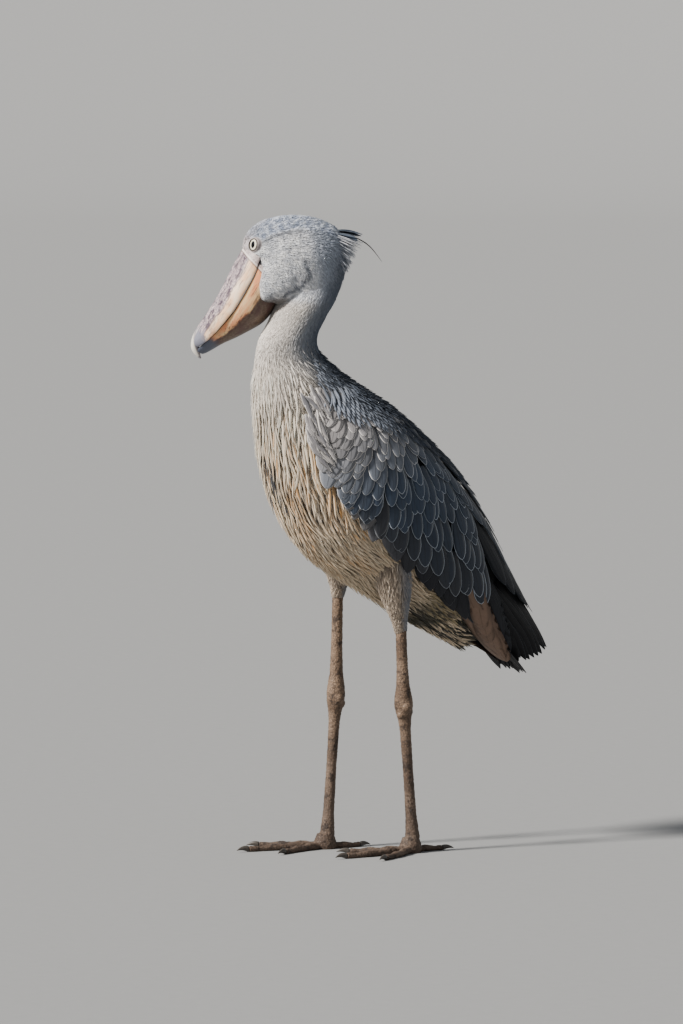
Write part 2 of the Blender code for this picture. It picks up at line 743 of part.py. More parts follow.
def make_foot(side, leg, shades):
    """Four long free toes on a round pad, each ending in its own claw."""
    ankle = leg["ankle"]
    centre = Vector((ankle.x, ankle.y - 0.004, 0.0))
    outwards = 1 if side == "left" else -1
    pad_points = [centre + Vector((0, 0, height)) for height in (ankle.z - GAP, 0.016, 0.004, -0.004)]
    pieces = [tube(f"foot_{side}", pad_points, [0.0145, 0.0185, 0.0190, 0.0150], 10, 1.15)]
    claws = []
    for name, (turn, length, radius) in TOES.items():
        heading = leg["heading"] + math.radians(turn) * outwards
        ahead = Vector((math.sin(heading), -math.cos(heading), 0))
        sideways = Vector((0, 0, 1)).cross(ahead)
        bones = 2 if name == "hind" else 3
        points, radii = [], []
        for i in range(bones * 2 + 1):
            t = i / (bones * 2)
            knuckle = 1.0 if i % 2 == 0 else 0.86
            r = radius * (1 - 0.34 * t) * knuckle
            sway = math.sin(t * math.pi) * 0.004 * outwards
            points.append(centre + ahead * (0.006 + length * t) + sideways * sway + Vector((0, 0, r * 0.86)))
            radii.append(r)
        toe = tube(f"toe_{name}", points, radii, 6, 1.0, sideways)
        pieces.append(toe)
        base = points[-1]
        r = radii[-1]
        onward = (base - points[-2]).normalized()
        claw_points = [
            base + onward * GAP,
            base + onward * CLAW_LENGTH * 0.35,
            base + onward * CLAW_LENGTH * 0.70 + Vector((0, 0, r * 0.12)),
            base + onward * CLAW_LENGTH + Vector((0, 0, -r * 0.30)),
        ]
        claws.append((f"claw_{name}_{side}", claw_points, [r * 0.84, r * 0.74, r * 0.48, r * 0.14], sideways))
    foot = fuse(f"foot_{side}", pieces)
    cut_level(foot, 0.0)
    finish(foot, "skin", shades)
    for name, points, radii, sideways in claws:
        claw = tube(name, points, radii, 6, 1.0, sideways)
        cut_level(claw, GAP)
        finish(claw, "claw", shades)
    return foot


def wing_core():
    """The wing's own body: a slab over the flank, thin towards its edges."""
    along, around = 9, 6
    first, last = 0.10, 8.6
    top, low = math.radians(1.5), math.radians(129)
    outer, inner = [], []
    for i in range(along):
        u = i / (along - 1)
        s = first + (last - first) * u
        for j in range(around):
            v = j / (around - 1)
            angle = top + (low - top) * v
            rim = max(0.0, 1 - min(u / 0.16, (1 - v) / 0.18, 1.0)) ** 2
            tail_rim = max(0.0, (u - 0.8) / 0.2)
            height = -0.0055 - 0.011 * rim - 0.001 * tail_rim
            depth = -0.027 + 0.013 * tail_rim
            outer.append(lifted(WING, s, angle, height))
            inner.append(lifted(WING, s, angle, min(depth, height - 0.004)))
    points = outer + inner
    shift = len(outer)
    faces = []
    for i in range(along - 1):
        for j in range(around - 1):
            a = i * around + j
            faces += [(a, a + 1, a + around + 1), (a, a + around + 1, a + around)]
            b = a + shift
            faces += [(b, b + around + 1, b + 1), (b, b + around, b + around + 1)]
    rim_loop = list(range(around))
    rim_loop += [i * around + around - 1 for i in range(1, along)]
    rim_loop += [(along - 1) * around + j for j in range(around - 2, -1, -1)]
    rim_loop += [i * around for i in range(along - 2, 0, -1)]
    for a, b in zip(rim_loop, rim_loop[1:] + rim_loop[:1]):
        faces += [(a, b, b + shift), (a, b + shift, a + shift)]
    return mesh_object("wing_core", points, faces)


# Feather tiers of a folded wing, lowest first: how many, the row of their tips from the wrist on
# (station, degrees from the back), lie at the first and the last (degrees from tailward towards the
# belly), length of the first and the last, width, outline, heights of root and tip over the surface,
# and how far one edge stands above the middle of the blade.
TIERS = {
    "primary": (6, [(10.6, 131), (11.2, 100), (11.4, 52)], (8, 0), (0.20, 0.21), 0.028, "long",
                (-0.0135, 0.0005), 0.0035),
    "secondary": (9, [(3.6, 133), (5.6, 134), (8.2, 136), (10.3, 139)], (52, 10), (0.085, 0.20), 0.039,
                  "long", (-0.0125, -0.0025), 0.0030),
    "greater": (8, [(3.0, 131), (4.9, 122), (6.9, 118), (8.6, 96)], (48, 14), (0.080, 0.125), 0.036,
                "round", (-0.0115, -0.0005), 0.0018),
    "median": (8, [(2.3, 129), (4.1, 112), (5.4, 92), (6.8, 72)], (46, 16), (0.066, 0.080), 0.031,
               "round", (-0.0115, 0.0010), 0.0016),
    "lesser": (7, [(1.8, 122), (3.0, 102), (4.5, 82), (5.9, 56)], (44, 16), (0.056, 0.070), 0.029,
               "round", (-0.0115, 0.0025), 0.0016),
    "tertial": (4, [(7.9, 64), (9.0, 34), (9.4, 10)], (8, 0), (0.165, 0.170), 0.040, "long",
                (-0.0115, 0.0080), 0.0016),
    "scapular": (6, [(1.5, 78), (3.0, 68), (4.6, 56), (6.8, 40)], (36, 8), (0.060, 0.110), 0.032, "long",
                 (-0.0115, 0.0035), 0.0016),
    "mantle": (5, [(2.2, 42), (4.2, 22), (7.0, 9)], (12, 2), (0.070, 0.105), 0.032, "round",
               (-0.0115, 0.0040), 0.0016),
}


def make_wing(side, blockers, shades):
    draw = random.Random(SEED + 1)
    pieces = [wing_core()]
    for tier, (count, tips, lies, lengths, width, outline, heights, shingle) in TIERS.items():
        for i in range(count):
            u = i / (count - 1)
            station, degrees = smooth_at(tips, u * (len(tips) - 1))
            lie = lies[0] + (lies[1] - lies[0]) * u + draw.uniform(-2, 2)
            length = (lengths[0] + (lengths[1] - lengths[0]) * u) * draw.uniform(0.97, 1.03)
            pieces.append(surface_vane(
                f"{tier}_{i}", WING, (station, math.radians(degrees)), (lie, lie), length, width,
                outline, heights, shingle, 0.0010,
            ))
    wing = fuse(f"wing_{side}", pieces, "MANIFOLD")
    cut(wing, box("midline", Vector((-0.2, -0.5, 0.0)), Vector((GAP / 2, 0.6, 1.2))))
    if side == "right":
        wing.data.transform(Matrix.Diagonal((-1, 1, 1, 1)))
        wing.data.flip_normals()
    keep_clear(wing, *blockers)
    finish(wing, "slate", shades)
    return wing


def make_tail(torso, shades):
    """Twelve overlapping tail feathers on the rump's end, the middle pair on top."""
    root = Vector((0, 0.197, 0.412))
    tip = Vector((0, 0.291, 0.299))
    ahead = (tip - root).normalized()
    sideways = Vector((1, 0, 0))
    up = sideways.cross(ahead).normalized()
    up = up if up.z > 0 else -up
    pieces = [tube(
        "tail", [root - ahead * 0.020, root + ahead * 0.018, root + ahead * 0.052],
        [0.030, 0.026, 0.017], 8, 0.55, sideways,
    )]
    for i in range(TAIL_FEATHERS):
        u = (i + 0.5) / TAIL_FEATHERS * 2 - 1
        fan = TAIL_FAN * u
        lie = (ahead * math.cos(fan) + sideways * math.sin(fan)).normalized()
        start = root + sideways * (u * 0.019)
        length = TAIL_LENGTH - 0.018 * abs(u)
        level = 0.011 * (1 - abs(u)) - 0.003

        def edges_at(t, share, start=start, lie=lie, length=length, u=u, level=level):
            here = start + lie * length * t + up * level * (0.35 + 0.65 * t)
            across = (sideways - lie * sideways.dot(lie)).normalized()
            half = 0.015 * share
            tilt = up * (0.0016 * share * (1 if u > 0 else -1))
            return here - across * half + tilt, here + across * half - tilt, up

        pieces.append(vane(f"rectrix_{i}", edges_at, "long", 0.0010))
    tail = fuse("tail", pieces)
    keep_clear(tail, torso)
    finish(tail, "flight", shades)
    return tail


def make_shades():
    shades = {}
    for name, (colour, roughness) in COLOURS.items():
        shade = bpy.data.materials.new(name)
        shade.use_nodes = True
        surface = shade.node_tree.nodes["Principled BSDF"]
        surface.inputs["Base Color"].default_value = (*colour, 1.0)
        surface.inputs["Roughness"].default_value = roughness
        surface.inputs["Metallic"].default_value = 0.0
        shades[name] = shade
    return shades


def finish(obj, shade, shades):
    """Puts the part in the bird's own collection, under its root, with its material."""
    bird = bpy.data.collections["shoebill"]
    for owner in list(obj.users_collection):
        owner.objects.unlink(obj)
    bird.objects.link(obj)
    obj.data.materials.clear()
    obj.data.materials.append(shades[shade])
    obj.data.shade_smooth()
    obj.data.set_sharp_from_angle(angle=math.radians(40))
    obj.parent = bpy.data.objects["bird_root"]


def main():
    empty_scene()
    bird = make_collection("shoebill")
    root = bpy.data.objects.new("bird_root", None)
    bird.objects.link(root)
    shades = make_shades()
    plain_head = make_head(shades)
    neck = make_neck(plain_head, shades)
    torso = make_torso(shades)
    make_bill(plain_head, neck, shades)
    bpy.data.objects.remove(plain_head, do_unlink=True)
    tail = make_tail(torso, shades)
    for side, leg in LEGS.items():
        thigh = make_thigh(side, leg, torso, shades)
        make_leg(side, leg, shades)
        make_foot(side, leg, shades)
        make_wing(side, (torso, thigh, tail), shades)


main()
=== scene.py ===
"""A life-size shoebill standing at rest, dressed with its skin, feathers, bill, eyes and scaled legs."""

import math

import bmesh
import bpy
import numpy as np
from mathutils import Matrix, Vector
from mathutils.bvhtree import BVHTree


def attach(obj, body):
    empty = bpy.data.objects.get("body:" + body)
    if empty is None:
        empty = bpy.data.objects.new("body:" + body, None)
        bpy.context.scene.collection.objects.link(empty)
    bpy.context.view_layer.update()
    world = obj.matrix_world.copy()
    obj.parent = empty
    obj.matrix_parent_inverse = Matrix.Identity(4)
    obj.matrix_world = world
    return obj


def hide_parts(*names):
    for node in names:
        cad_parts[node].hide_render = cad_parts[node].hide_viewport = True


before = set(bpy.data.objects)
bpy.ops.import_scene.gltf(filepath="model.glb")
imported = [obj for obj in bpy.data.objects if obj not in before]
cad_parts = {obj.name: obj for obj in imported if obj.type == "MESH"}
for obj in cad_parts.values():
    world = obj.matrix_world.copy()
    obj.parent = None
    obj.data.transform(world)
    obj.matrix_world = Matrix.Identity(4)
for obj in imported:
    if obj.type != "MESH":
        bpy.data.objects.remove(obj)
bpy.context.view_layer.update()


# The studio: a plain pale floor, one soft high light from the side that the bill points to, even air
# light, and a camera at the height of the bird's back, far off with a long lens.
VIEW_AZIMUTH, VIEW_ELEVATION = math.radians(60), math.radians(4)
VIEW_DISTANCE, PICTURE_HEIGHT = 12.0, 1.8432
AIM = Vector((-0.0689, -0.0425, 0.6069))
VIEW_RIGHT = Vector((math.cos(VIEW_AZIMUTH), math.sin(VIEW_AZIMUTH), 0))
VIEW_AHEAD = Vector((
    -math.sin(VIEW_AZIMUTH) * math.cos(VIEW_ELEVATION),
    math.cos(VIEW_AZIMUTH) * math.cos(VIEW_ELEVATION),
    -math.sin(VIEW_ELEVATION),
))

bpy.ops.object.select_all(action="DESELECT")
bpy.ops.object.camera_add(location=AIM - VIEW_AHEAD * VIEW_DISTANCE)
camera = bpy.context.object
camera.rotation_euler = VIEW_AHEAD.to_track_quat("-Z", "Y").to_euler()
camera.data.sensor_width = 36
camera.data.lens = camera.data.sensor_width * VIEW_DISTANCE / PICTURE_HEIGHT
camera.data.clip_end = 5000
bpy.context.scene.camera = camera


def unit(vectors):
    return vectors / np.maximum(np.linalg.norm(vectors, axis=-1, keepdims=True), 1e-12)


SUN_FROM = Vector(unit(np.array(-VIEW_RIGHT * 1.0 - VIEW_AHEAD * 0.56 + Vector((0, 0, 0.84)))))
bpy.ops.object.light_add(type="SUN", location=AIM + SUN_FROM * 6)
key_light = bpy.context.object
key_light.name = "key_light"
key_light.rotation_euler = (-SUN_FROM).to_track_quat("-Z", "Y").to_euler()
key_light.data.energy = 8.6
key_light.data.angle = 0.16
key_light.data.color = (1.0, 0.95, 0.88)

world = bpy.data.worlds.new("studio_air")
world.use_nodes = True
world.node_tree.nodes["Background"].inputs["Color"].default_value = (0.93, 0.96, 1.0, 1)
world.node_tree.nodes["Background"].inputs["Strength"].default_value = 0.42
bpy.context.scene.world = world


def new_material(name, roughness, specular=0.35):
    """A material with its node tree and its surface shader."""
    made = bpy.data.materials.new(name)
    made.use_nodes = True
    shader = made.node_tree.nodes["Principled BSDF"]
    shader.inputs["Roughness"].default_value = roughness
    shader.inputs["Specular IOR Level"].default_value = specular
    return made, made.node_tree, shader


def node(tree, kind, **inputs):
    """A shader node, its inputs set to values or joined to other nodes' outputs."""
    made = tree.nodes.new(kind)
    for name, value in inputs.items():
        place = int(name[1:]) if name[0] == "_" else name.replace("__", " ")
        socket = made.inputs[place]
        if isinstance(value, bpy.types.NodeSocket):
            tree.links.new(value, socket)
        else:
            socket.default_value = value
    return made


def maths(tree, operation, first, second=0.0, clamp=False):
    made = node(tree, "ShaderNodeMath", _0=first, _1=second)
    made.operation = operation
    made.use_clamp = clamp
    return made.outputs[0]


def mixed(tree, share, first, second, how="MIX"):
    """Two colours mixed by a share from 0 to 1."""
    made = tree.nodes.new("ShaderNodeMix")
    made.data_type = "RGBA"
    made.blend_type = how
    for place, value in ((0, share), (6, first), (7, second)):
        if isinstance(value, bpy.types.NodeSocket):
            tree.links.new(value, made.inputs[place])
        else:
            made.inputs[place].default_value = value if place == 0 else (*value[:3], 1.0)
    return made.outputs[2]


def ramp(tree, value, low, high, smooth=True):
    """0 below low, 1 above high, and an even slope between them."""
    made = node(tree, "ShaderNodeMapRange", Value=value)
    made.interpolation_type = "SMOOTHSTEP" if smooth else "LINEAR"
    made.inputs["From Min"].default_value = low
    made.inputs["From Max"].default_value = high
    return made.outputs[0]


def noise(tree, where, scale, detail=3.0, rough=0.55):
    made = node(tree, "ShaderNodeTexNoise", Vector=where)
    made.inputs["Scale"].default_value = scale
    made.inputs["Detail"].default_value = detail
    made.inputs["Roughness"].default_value = rough
    return made.outputs[0]


def bumped(tree, shader, height, strength, distance):
    made = node(tree, "ShaderNodeBump", Height=height)
    made.inputs["Strength"].default_value = strength
    made.inputs["Distance"].default_value = distance
    tree.links.new(made.outputs[0], shader.inputs["Normal"])


bpy.ops.object.select_all(action="DESELECT")
bpy.ops.mesh.primitive_circle_add(vertices=96, radius=60, location=(0, 0, 14))
floor = bpy.context.object
floor.name = "floor"
bpy.ops.object.transform_apply(location=True, rotation=True, scale=True)
bpy.ops.object.mode_set(mode="EDIT")
bpy.ops.mesh.select_all(action="SELECT")
level, reach = 14.0, 60.0
for slope in range(10, 100, 10):
    wanted, across = 14 - 14 * math.sin(math.radians(slope)), 46 + 14 * math.cos(math.radians(slope))
    bpy.ops.mesh.extrude_region_move(TRANSFORM_OT_translate={"value": (0, 0, wanted - level)})
    bpy.ops.transform.resize(value=(across / reach, across / reach, 1))
    level, reach = wanted, across
bpy.ops.mesh.extrude_region_move()
bpy.ops.transform.resize(value=(0.95, 0.95, 1))
bpy.ops.mesh.edge_face_add()
bpy.ops.mesh.select_all(action="SELECT")
bpy.ops.mesh.normals_make_consistent(inside=True)
bpy.ops.object.mode_set(mode="OBJECT")
floor.data.shade_smooth()
paint, tree, shader = new_material("floor_paint", 0.95, 0.1)
grain = noise(tree, node(tree, "ShaderNodeTexCoord").outputs["Object"], 40)
tree.links.new(mixed(tree, grain, (0.25, 0.255, 0.26), (0.27, 0.275, 0.28)), shader.inputs["Base Color"])
floor.data.materials.append(paint)


# The skin: one unbroken sheet from the forehead over the neck, trunk, folded arms and thighs to the
# rump. It lies under the feathers by their depth and shows only in the gaps, in the plumage's colours.
# Stations down the trunk: back (y, z), breast or belly (y, z), half width.
BODY = [
    (-0.086, 1.040, -0.198, 1.008, 0.056), (-0.099, 0.998, -0.216, 0.976, 0.056),
    (-0.121, 0.962, -0.230, 0.950, 0.052), (-0.138, 0.927, -0.247, 0.923, 0.050),
    (-0.131, 0.900, -0.254, 0.888, 0.055), (-0.101, 0.873, -0.256, 0.835, 0.076),
    (-0.053, 0.839, -0.249, 0.775, 0.096), (-0.008, 0.802, -0.237, 0.705, 0.112),
    (0.043, 0.754, -0.215, 0.638, 0.119), (0.096, 0.702, -0.178, 0.576, 0.119),
    (0.138, 0.645, -0.124, 0.520, 0.113), (0.170, 0.586, -0.060, 0.480, 0.100),
    (0.197, 0.531, 0.010, 0.437, 0.082), (0.221, 0.484, 0.078, 0.400, 0.060),
    (0.236, 0.448, 0.136, 0.371, 0.040), (0.243, 0.430, 0.176, 0.350, 0.022),
]
# The outer surface of the folded wings, in the same form, from the wrist to the wing tips.
WING = [
    (-0.074, 0.850, -0.250, 0.796, 0.094), (-0.041, 0.830, -0.240, 0.736, 0.114),
    (0.010, 0.798, -0.221, 0.681, 0.132), (0.066, 0.753, -0.194, 0.622, 0.140),
    (0.122, 0.702, -0.149, 0.567, 0.140), (0.167, 0.648, -0.088, 0.517, 0.134),
    (0.204, 0.591, -0.018, 0.471, 0.124), (0.234, 0.534, 0.051, 0.434, 0.110),
    (0.262, 0.483, 0.120, 0.398, 0.092), (0.290, 0.440, 0.179, 0.367, 0.070),
    (0.316, 0.402, 0.228, 0.342, 0.050), (0.340, 0.370, 0.272, 0.313, 0.035),
]
HEAD_PIVOT = np.array((0.0, -0.153, 0.0))
HEAD_TURN = math.radians(-30)
HEAD_LEFT = np.array((math.cos(HEAD_TURN), math.sin(HEAD_TURN), 0))
HEAD_AHEAD = np.array((math.sin(HEAD_TURN), -math.cos(HEAD_TURN), 0))
SKULL_FORWARD, SKULL_HEIGHT, SKULL_HALF_WIDTH = 0.020, 1.058, 0.061
# The feathered head's outline: degrees above straight ahead, and radius.
SKULL_OUTLINE = [
    (-75, 0.078), (-60, 0.086), (-47, 0.104), (-35, 0.092), (-16, 0.076), (-3, 0.071), (6, 0.073),
    (14, 0.099), (24, 0.1030), (38, 0.1030), (50, 0.0985), (65, 0.0910), (80, 0.0875), (95, 0.0865),
    (110, 0.0885), (125, 0.0920), (138, 0.0955), (152, 0.0935), (166, 0.0910), (181, 0.0865),
    (196, 0.0845), (210, 0.0880), (223, 0.0910), (238, 0.0880), (254, 0.0780), (270, 0.0700),
]
NECK_DEPTH, BREAST_DEPTH, HEAD_DEPTH, WING_DEPTH = 0.005, 0.008, 0.0035, 0.014
LEGS = {
    "left": {"hip": (0.058, -0.020, 0.545), "knee": (0.062, -0.004, 0.455), "cuff": (0.062, 0.005, 0.395),
             "hock": (0.064, 0.009, 0.270), "ankle": (0.064, 0.028, 0.026), "heading": math.radians(8)},
    "right": {"hip": (-0.058, -0.056, 0.550), "knee": (-0.062, -0.051, 0.500), "cuff": (-0.063, -0.054, 0.452),
              "hock": (-0.064, -0.057, 0.278), "ankle": (-0.066, -0.074, 0.026), "heading": math.radians(-10)},
}


def smooth_at(rows, s):
    """Rows read at fractional places s, on a smooth curve through them all."""
    rows = np.asarray(rows, float)
    last = len(rows) - 1
    s = np.clip(np.asarray(s, float), 0, last - 1e-9)
    i = s.astype(int)
    t = (s - i)[..., None]
    p, q, r, u = (rows[np.clip(i + k, 0, last)] for k in (-1, 0, 1, 2))
    return 0.5 * (2 * q + (r - p) * t + (2 * p - 5 * q + 4 * r - u) * t ** 2 + (3 * q - p - 3 * r + u) * t ** 3)


def on_section(rows, s, angle):
    """Angle 0 is the back, 90 degrees the left flank, 180 degrees the belly."""
    back_y, back_z, belly_y, belly_z, half_width = np.moveaxis(smooth_at(rows, s), -1, 0)
    turn = np.cos(angle)
    return np.stack([
        half_width * np.sin(angle),
        (back_y + belly_y) / 2 + (back_y - belly_y) / 2 * turn,
        (back_z + belly_z) / 2 + (back_z - belly_z) / 2 * turn,
    ], -1)


def surface_frame(rows, s, angle):
    """The ways along (to the tail) and around, in metres for one station and one radian."""
    step = 0.02
    s = np.clip(s, step, len(rows) - 1.001 - step)
    along = (on_section(rows, s + step, angle) - on_section(rows, s - step, angle)) / (2 * step)
    around = (on_section(rows, s, angle + step) - on_section(rows, s, angle - step)) / (2 * step)
    return along, around


def lifted(rows, s, angle, height):
    """A point over the surface, which goes straight on past its first and last stations."""
    last = len(rows) - 1.05
    s, angle = np.broadcast_arrays(np.asarray(s, float), np.asarray(angle, float))
    along, around = surface_frame(rows, np.minimum(s, last), angle)
    out = unit(np.cross(around, along))
    beyond = (np.maximum(s - last, 0) + np.minimum(s, 0))[..., None]
    return on_section(rows, np.minimum(s, last), angle) + along * beyond + out * np.asarray(height)[..., None]


def head_place(side, forward, height):
    """A place in the head's own directions: to its left, forward of the pivot, and height."""
    side, forward, height = np.broadcast_arrays(side, forward, height)
    up = np.array((0.0, 0.0, 1.0))
    return HEAD_PIVOT + side[..., None] * HEAD_LEFT + forward[..., None] * HEAD_AHEAD + height[..., None] * up


def skull_point(degrees, tip, inward=0.0):
    """The head's surface: degrees round the middle plane, and tip from it out to the side."""
    angles = np.array([a for a, _ in SKULL_OUTLINE] + [SKULL_OUTLINE[0][0] + 360], float)
    radii = np.array([r for _, r in SKULL_OUTLINE] + [SKULL_OUTLINE[0][1]])
    wrapped = (np.asarray(degrees, float) + 75) % 360 - 75
    i = np.clip(np.searchsorted(angles, wrapped, side="right") - 1, 0, len(angles) - 2)
    t = (wrapped - angles[i]) / (angles[i + 1] - angles[i])
    radius = radii[i] + (radii[i + 1] - radii[i]) * t * t * (3 - 2 * t)
    below = np.where(wrapped < 40, np.maximum(np.cos(np.radians((wrapped + 35) * 1.5)), 0), 0)
    radius = (radius - inward) * np.cos(tip) ** (0.85 - 0.62 * below)
    turn = np.radians(wrapped)
    return head_place(
        (SKULL_HALF_WIDTH - inward) * np.sin(tip),
        SKULL_FORWARD + radius * np.cos(turn), SKULL_HEIGHT + radius * np.sin(turn),
    )


def drawn_through(name, rings):
    """A closed form: a circle set on the first ring, extruded and set on each next one, then capped."""
    bpy.ops.object.select_all(action="DESELECT")
    bpy.ops.mesh.primitive_circle_add(vertices=len(rings[0]), radius=0.01)
    piece = bpy.context.object
    piece.name = name
    bpy.ops.object.mode_set(mode="EDIT")
    bpy.ops.mesh.select_all(action="SELECT")
    shape = bmesh.from_edit_mesh(piece.data)
    shape.verts.ensure_lookup_table()
    start, chain = shape.verts[0], [shape.verts[0]]
    while len(chain) < len(rings[0]):
        near = [edge.other_vert(chain[-1]) for edge in chain[-1].link_edges]
        chain.append(next(vert for vert in near if vert not in chain[-2:] and vert is not start or len(chain) == 1))
    for vert, place in zip(chain, rings[0]):
        vert.co = place
    order = [vert.index for vert in chain]
    bpy.ops.mesh.edge_face_add()
    for ring in rings[1:]:
        shape = bmesh.from_edit_mesh(piece.data)
        shape.verts.ensure_lookup_table()
        before = len(shape.verts)
        bpy.ops.mesh.extrude_region_move()
        shape = bmesh.from_edit_mesh(piece.data)
        shape.verts.ensure_lookup_table()
        fresh = {}
        for vert in shape.verts:
            if vert.select:
                for edge in vert.link_edges:
                    other = edge.other_vert(vert)
                    if not other.select:
                        fresh[other.index] = vert
        chain = [fresh[index] for index in order]
        for vert, place in zip(chain, ring):
            vert.co = place
        order = [vert.index for vert in chain]
    bpy.ops.mesh.select_all(action="SELECT")
    bpy.ops.mesh.normals_make_consistent(inside=False)
    bpy.ops.object.mode_set(mode="OBJECT")
    return piece


def apply_modifier(piece, kind, **settings):
    """Adds one modifier and applies it."""
    bpy.ops.object.select_all(action="DESELECT")
    piece.select_set(True)
    bpy.context.view_layer.objects.active = piece
    made = piece.modifiers.new(kind.lower(), kind)
    for name, value in settings.items():
        setattr(made, name, value)
    bpy.ops.object.modifier_apply(modifier=made.name)


def tube_rings(points, radii, sides, depth=1.0):
    """Rings round a bent limb. depth stretches it from front to back."""
    points = np.asarray(points, float)
    ahead = unit(np.gradient(points, axis=0))
    side = unit(np.array((1.0, 0, 0)) - ahead * ahead[:, :1])
    front = np.cross(ahead, side)
    turn = np.linspace(0, 2 * math.pi, sides, endpoint=False)
    radii = np.asarray(radii, float)[:, None, None]
    return (
        points[:, None] + side[:, None] * np.cos(turn)[None, :, None] * radii
        + front[:, None] * np.sin(turn)[None, :, None] * radii * depth
    )


EYE_RADIUS = 0.0118
EYE_PLACE, GAZE = (0.0360, 0.0697, 0.0336), (0.62, 0.76, 0.14)


def eye_seat(side):
    """Centre of the eyeball, and its outward, upward and sideways directions."""
    centre = head_place(side * EYE_PLACE[0], SKULL_FORWARD + EYE_PLACE[1], SKULL_HEIGHT + EYE_PLACE[2])
    outward = unit(side * GAZE[0] * HEAD_LEFT + GAZE[1] * HEAD_AHEAD + np.array((0, 0, GAZE[2])))
    upward = unit(np.array((0, 0, 1.0)) - outward * outward[2])
    return centre, outward, upward, np.cross(upward, outward)


def vertex_places(piece):
    places = np.empty(len(piece.data.vertices) * 3, np.float32)
    piece.data.vertices.foreach_get("co", places)
    return places.reshape(-1, 3).astype(float)


def move_vertices(piece, places):
    piece.data.vertices.foreach_set("co", np.asarray(places, np.float32).ravel())
    piece.data.update()


def joined(forms, name):
    bpy.ops.object.select_all(action="DESELECT")
    for form in forms:
        form.select_set(True)
    bpy.context.view_layer.objects.active = forms[0]
    bpy.ops.object.join()
    forms[0].name = name
    return forms[0]


turns = np.linspace(0, 2 * math.pi, 40, endpoint=False)
trunk_rings = []
for s in np.linspace(0.0, len(BODY) - 1.0, 46):
    depth = NECK_DEPTH + (BREAST_DEPTH - NECK_DEPTH) * min(max((s - 3) / 3, 0), 1)
    trunk_rings.append(lifted(BODY, np.full(40, s), turns, np.full(40, -depth)))
forms = [drawn_through("skin", trunk_rings)]
outline_turns = np.linspace(-75, 285, 48, endpoint=False)
depths = np.interp(outline_turns, [-75, -5, 20, 60, 95, 285], [0.0035, 0.0035, 0.0018, 0.0018, 0.0032, 0.0035])
skull_rings = [skull_point(outline_turns, np.full(48, tip), depths) for tip in np.radians(np.linspace(-84, 84, 21))]
forms.append(drawn_through("skull_form", skull_rings))
for side in (1, -1):
    bpy.ops.mesh.primitive_uv_sphere_add(segments=32, ring_count=16, radius=0.0141, location=eye_seat(side)[0])
    forms.append(bpy.context.object)
for leg in LEGS.values():
    hip, knee, cuff = (np.array(leg[key]) for key in ("hip", "knee", "cuff"))
    stops = [hip, (hip + knee) / 2, knee, knee * 0.45 + cuff * 0.55, cuff]
    forms.append(drawn_through("thigh_form", tube_rings(stops, [0.034, 0.030, 0.0205, 0.0118, 0.0090], 24, 1.12)))
for side in (1, -1):
    arm_rings = []
    for s in np.linspace(0.30, 8.8, 32):
        across = np.radians(np.linspace(2, 122 - 6 * min(max(s - 5, 0), 1), 16)) * side
        rim = 0.004 * max(0.0, (s - 6.5) / 2.1)
        outer = lifted(WING, np.full(16, s), across, np.full(16, -WING_DEPTH - rim))
        inner = lifted(WING, np.full(16, s), across[::-1], np.full(16, -WING_DEPTH - 0.018 + rim))
        arm_rings.append(np.concatenate([outer, inner]))
    forms.append(drawn_through("arm_form", arm_rings))

skin = joined(forms, "skin")
apply_modifier(skin, "REMESH", mode="VOXEL", voxel_size=0.0042)
apply_modifier(skin, "SMOOTH", factor=0.5, iterations=5)
places = vertex_places(skin)
for side in (1, -1):
    centre, outward, upward, sideways = eye_seat(side)
    away = places - centre
    rise = away @ outward
    reach = np.linalg.norm(away - rise[:, None] * outward, axis=1)
    socket = np.interp(reach, [0, 0.006, 0.0095, 0.0110, 0.0135, 0.0175, 0.0215], [0.0036, 0.0036, 0.0038, 0.0042, 0.0048, 0.0085, 0.0250])
    pressed = np.where((reach < 0.0215) & (rise > 0) & (rise < 0.03), np.maximum(rise - socket, 0), 0)
    places -= pressed[:, None] * outward
move_vertices(skin, places)
skin_tree = BVHTree.FromObject(skin, bpy.context.evaluated_depsgraph_get())


def srgb(red, green, blue):
    """A colour given in the 0 to 255 of a paint chart, as light."""
    chart = np.array((red, green, blue)) / 255
    return np.where(chart <= 0.04045, chart / 12.92, ((chart + 0.055) / 1.055) ** 2.4)


def blend_in(low, high, values):
    """0 below low, 1 above high, smooth between."""
    t = np.clip((np.asarray(values) - low) / (high - low), 0, 1)
    return t * t * (3 - 2 * t)


def toned(share, first, second):
    """Rows of colours between two, by a share for each row."""
    share = np.asarray(share)[..., None]
    return first * (1 - share) + second * share


def between(values, stops, colours):
    """A colour for each value, from colours at rising stops."""
    colours = np.array(colours)
    return np.stack([np.interp(values, stops, colours[:, k]) for k in range(3)], -1)


def mottle(points, waves, seed):
    """Smooth patches over space, about -1 to 1. waves is how many turns a metre holds."""
    own = np.random.default_rng(seed)
    turns = own.normal(0, 1, (10, 3)) * waves * 2 * math.pi
    return np.sin(points @ turns.T + own.uniform(0, 6.3, 10)).sum(1) / 3


# A grid of known places, to read off where on the trunk any point lies.
grid_s, grid_turn = np.meshgrid(np.linspace(0, 15, 121), np.linspace(-math.pi, math.pi, 96), indexing="ij")
grid_points = on_section(BODY, grid_s, grid_turn).reshape(-1, 3)


def trunk_place(points):
    """Station and angle of the nearest place of the trunk, for each point."""
    best = np.empty(len(points), int)
    for first in range(0, len(points), 2000):
        part = points[first:first + 2000]
        gap = (part ** 2).sum(1)[:, None] - 2 * part @ grid_points.T + (grid_points ** 2).sum(1)
        best[first:first + 2000] = gap.argmin(1)
    return grid_s.ravel()[best], grid_turn.ravel()[best]


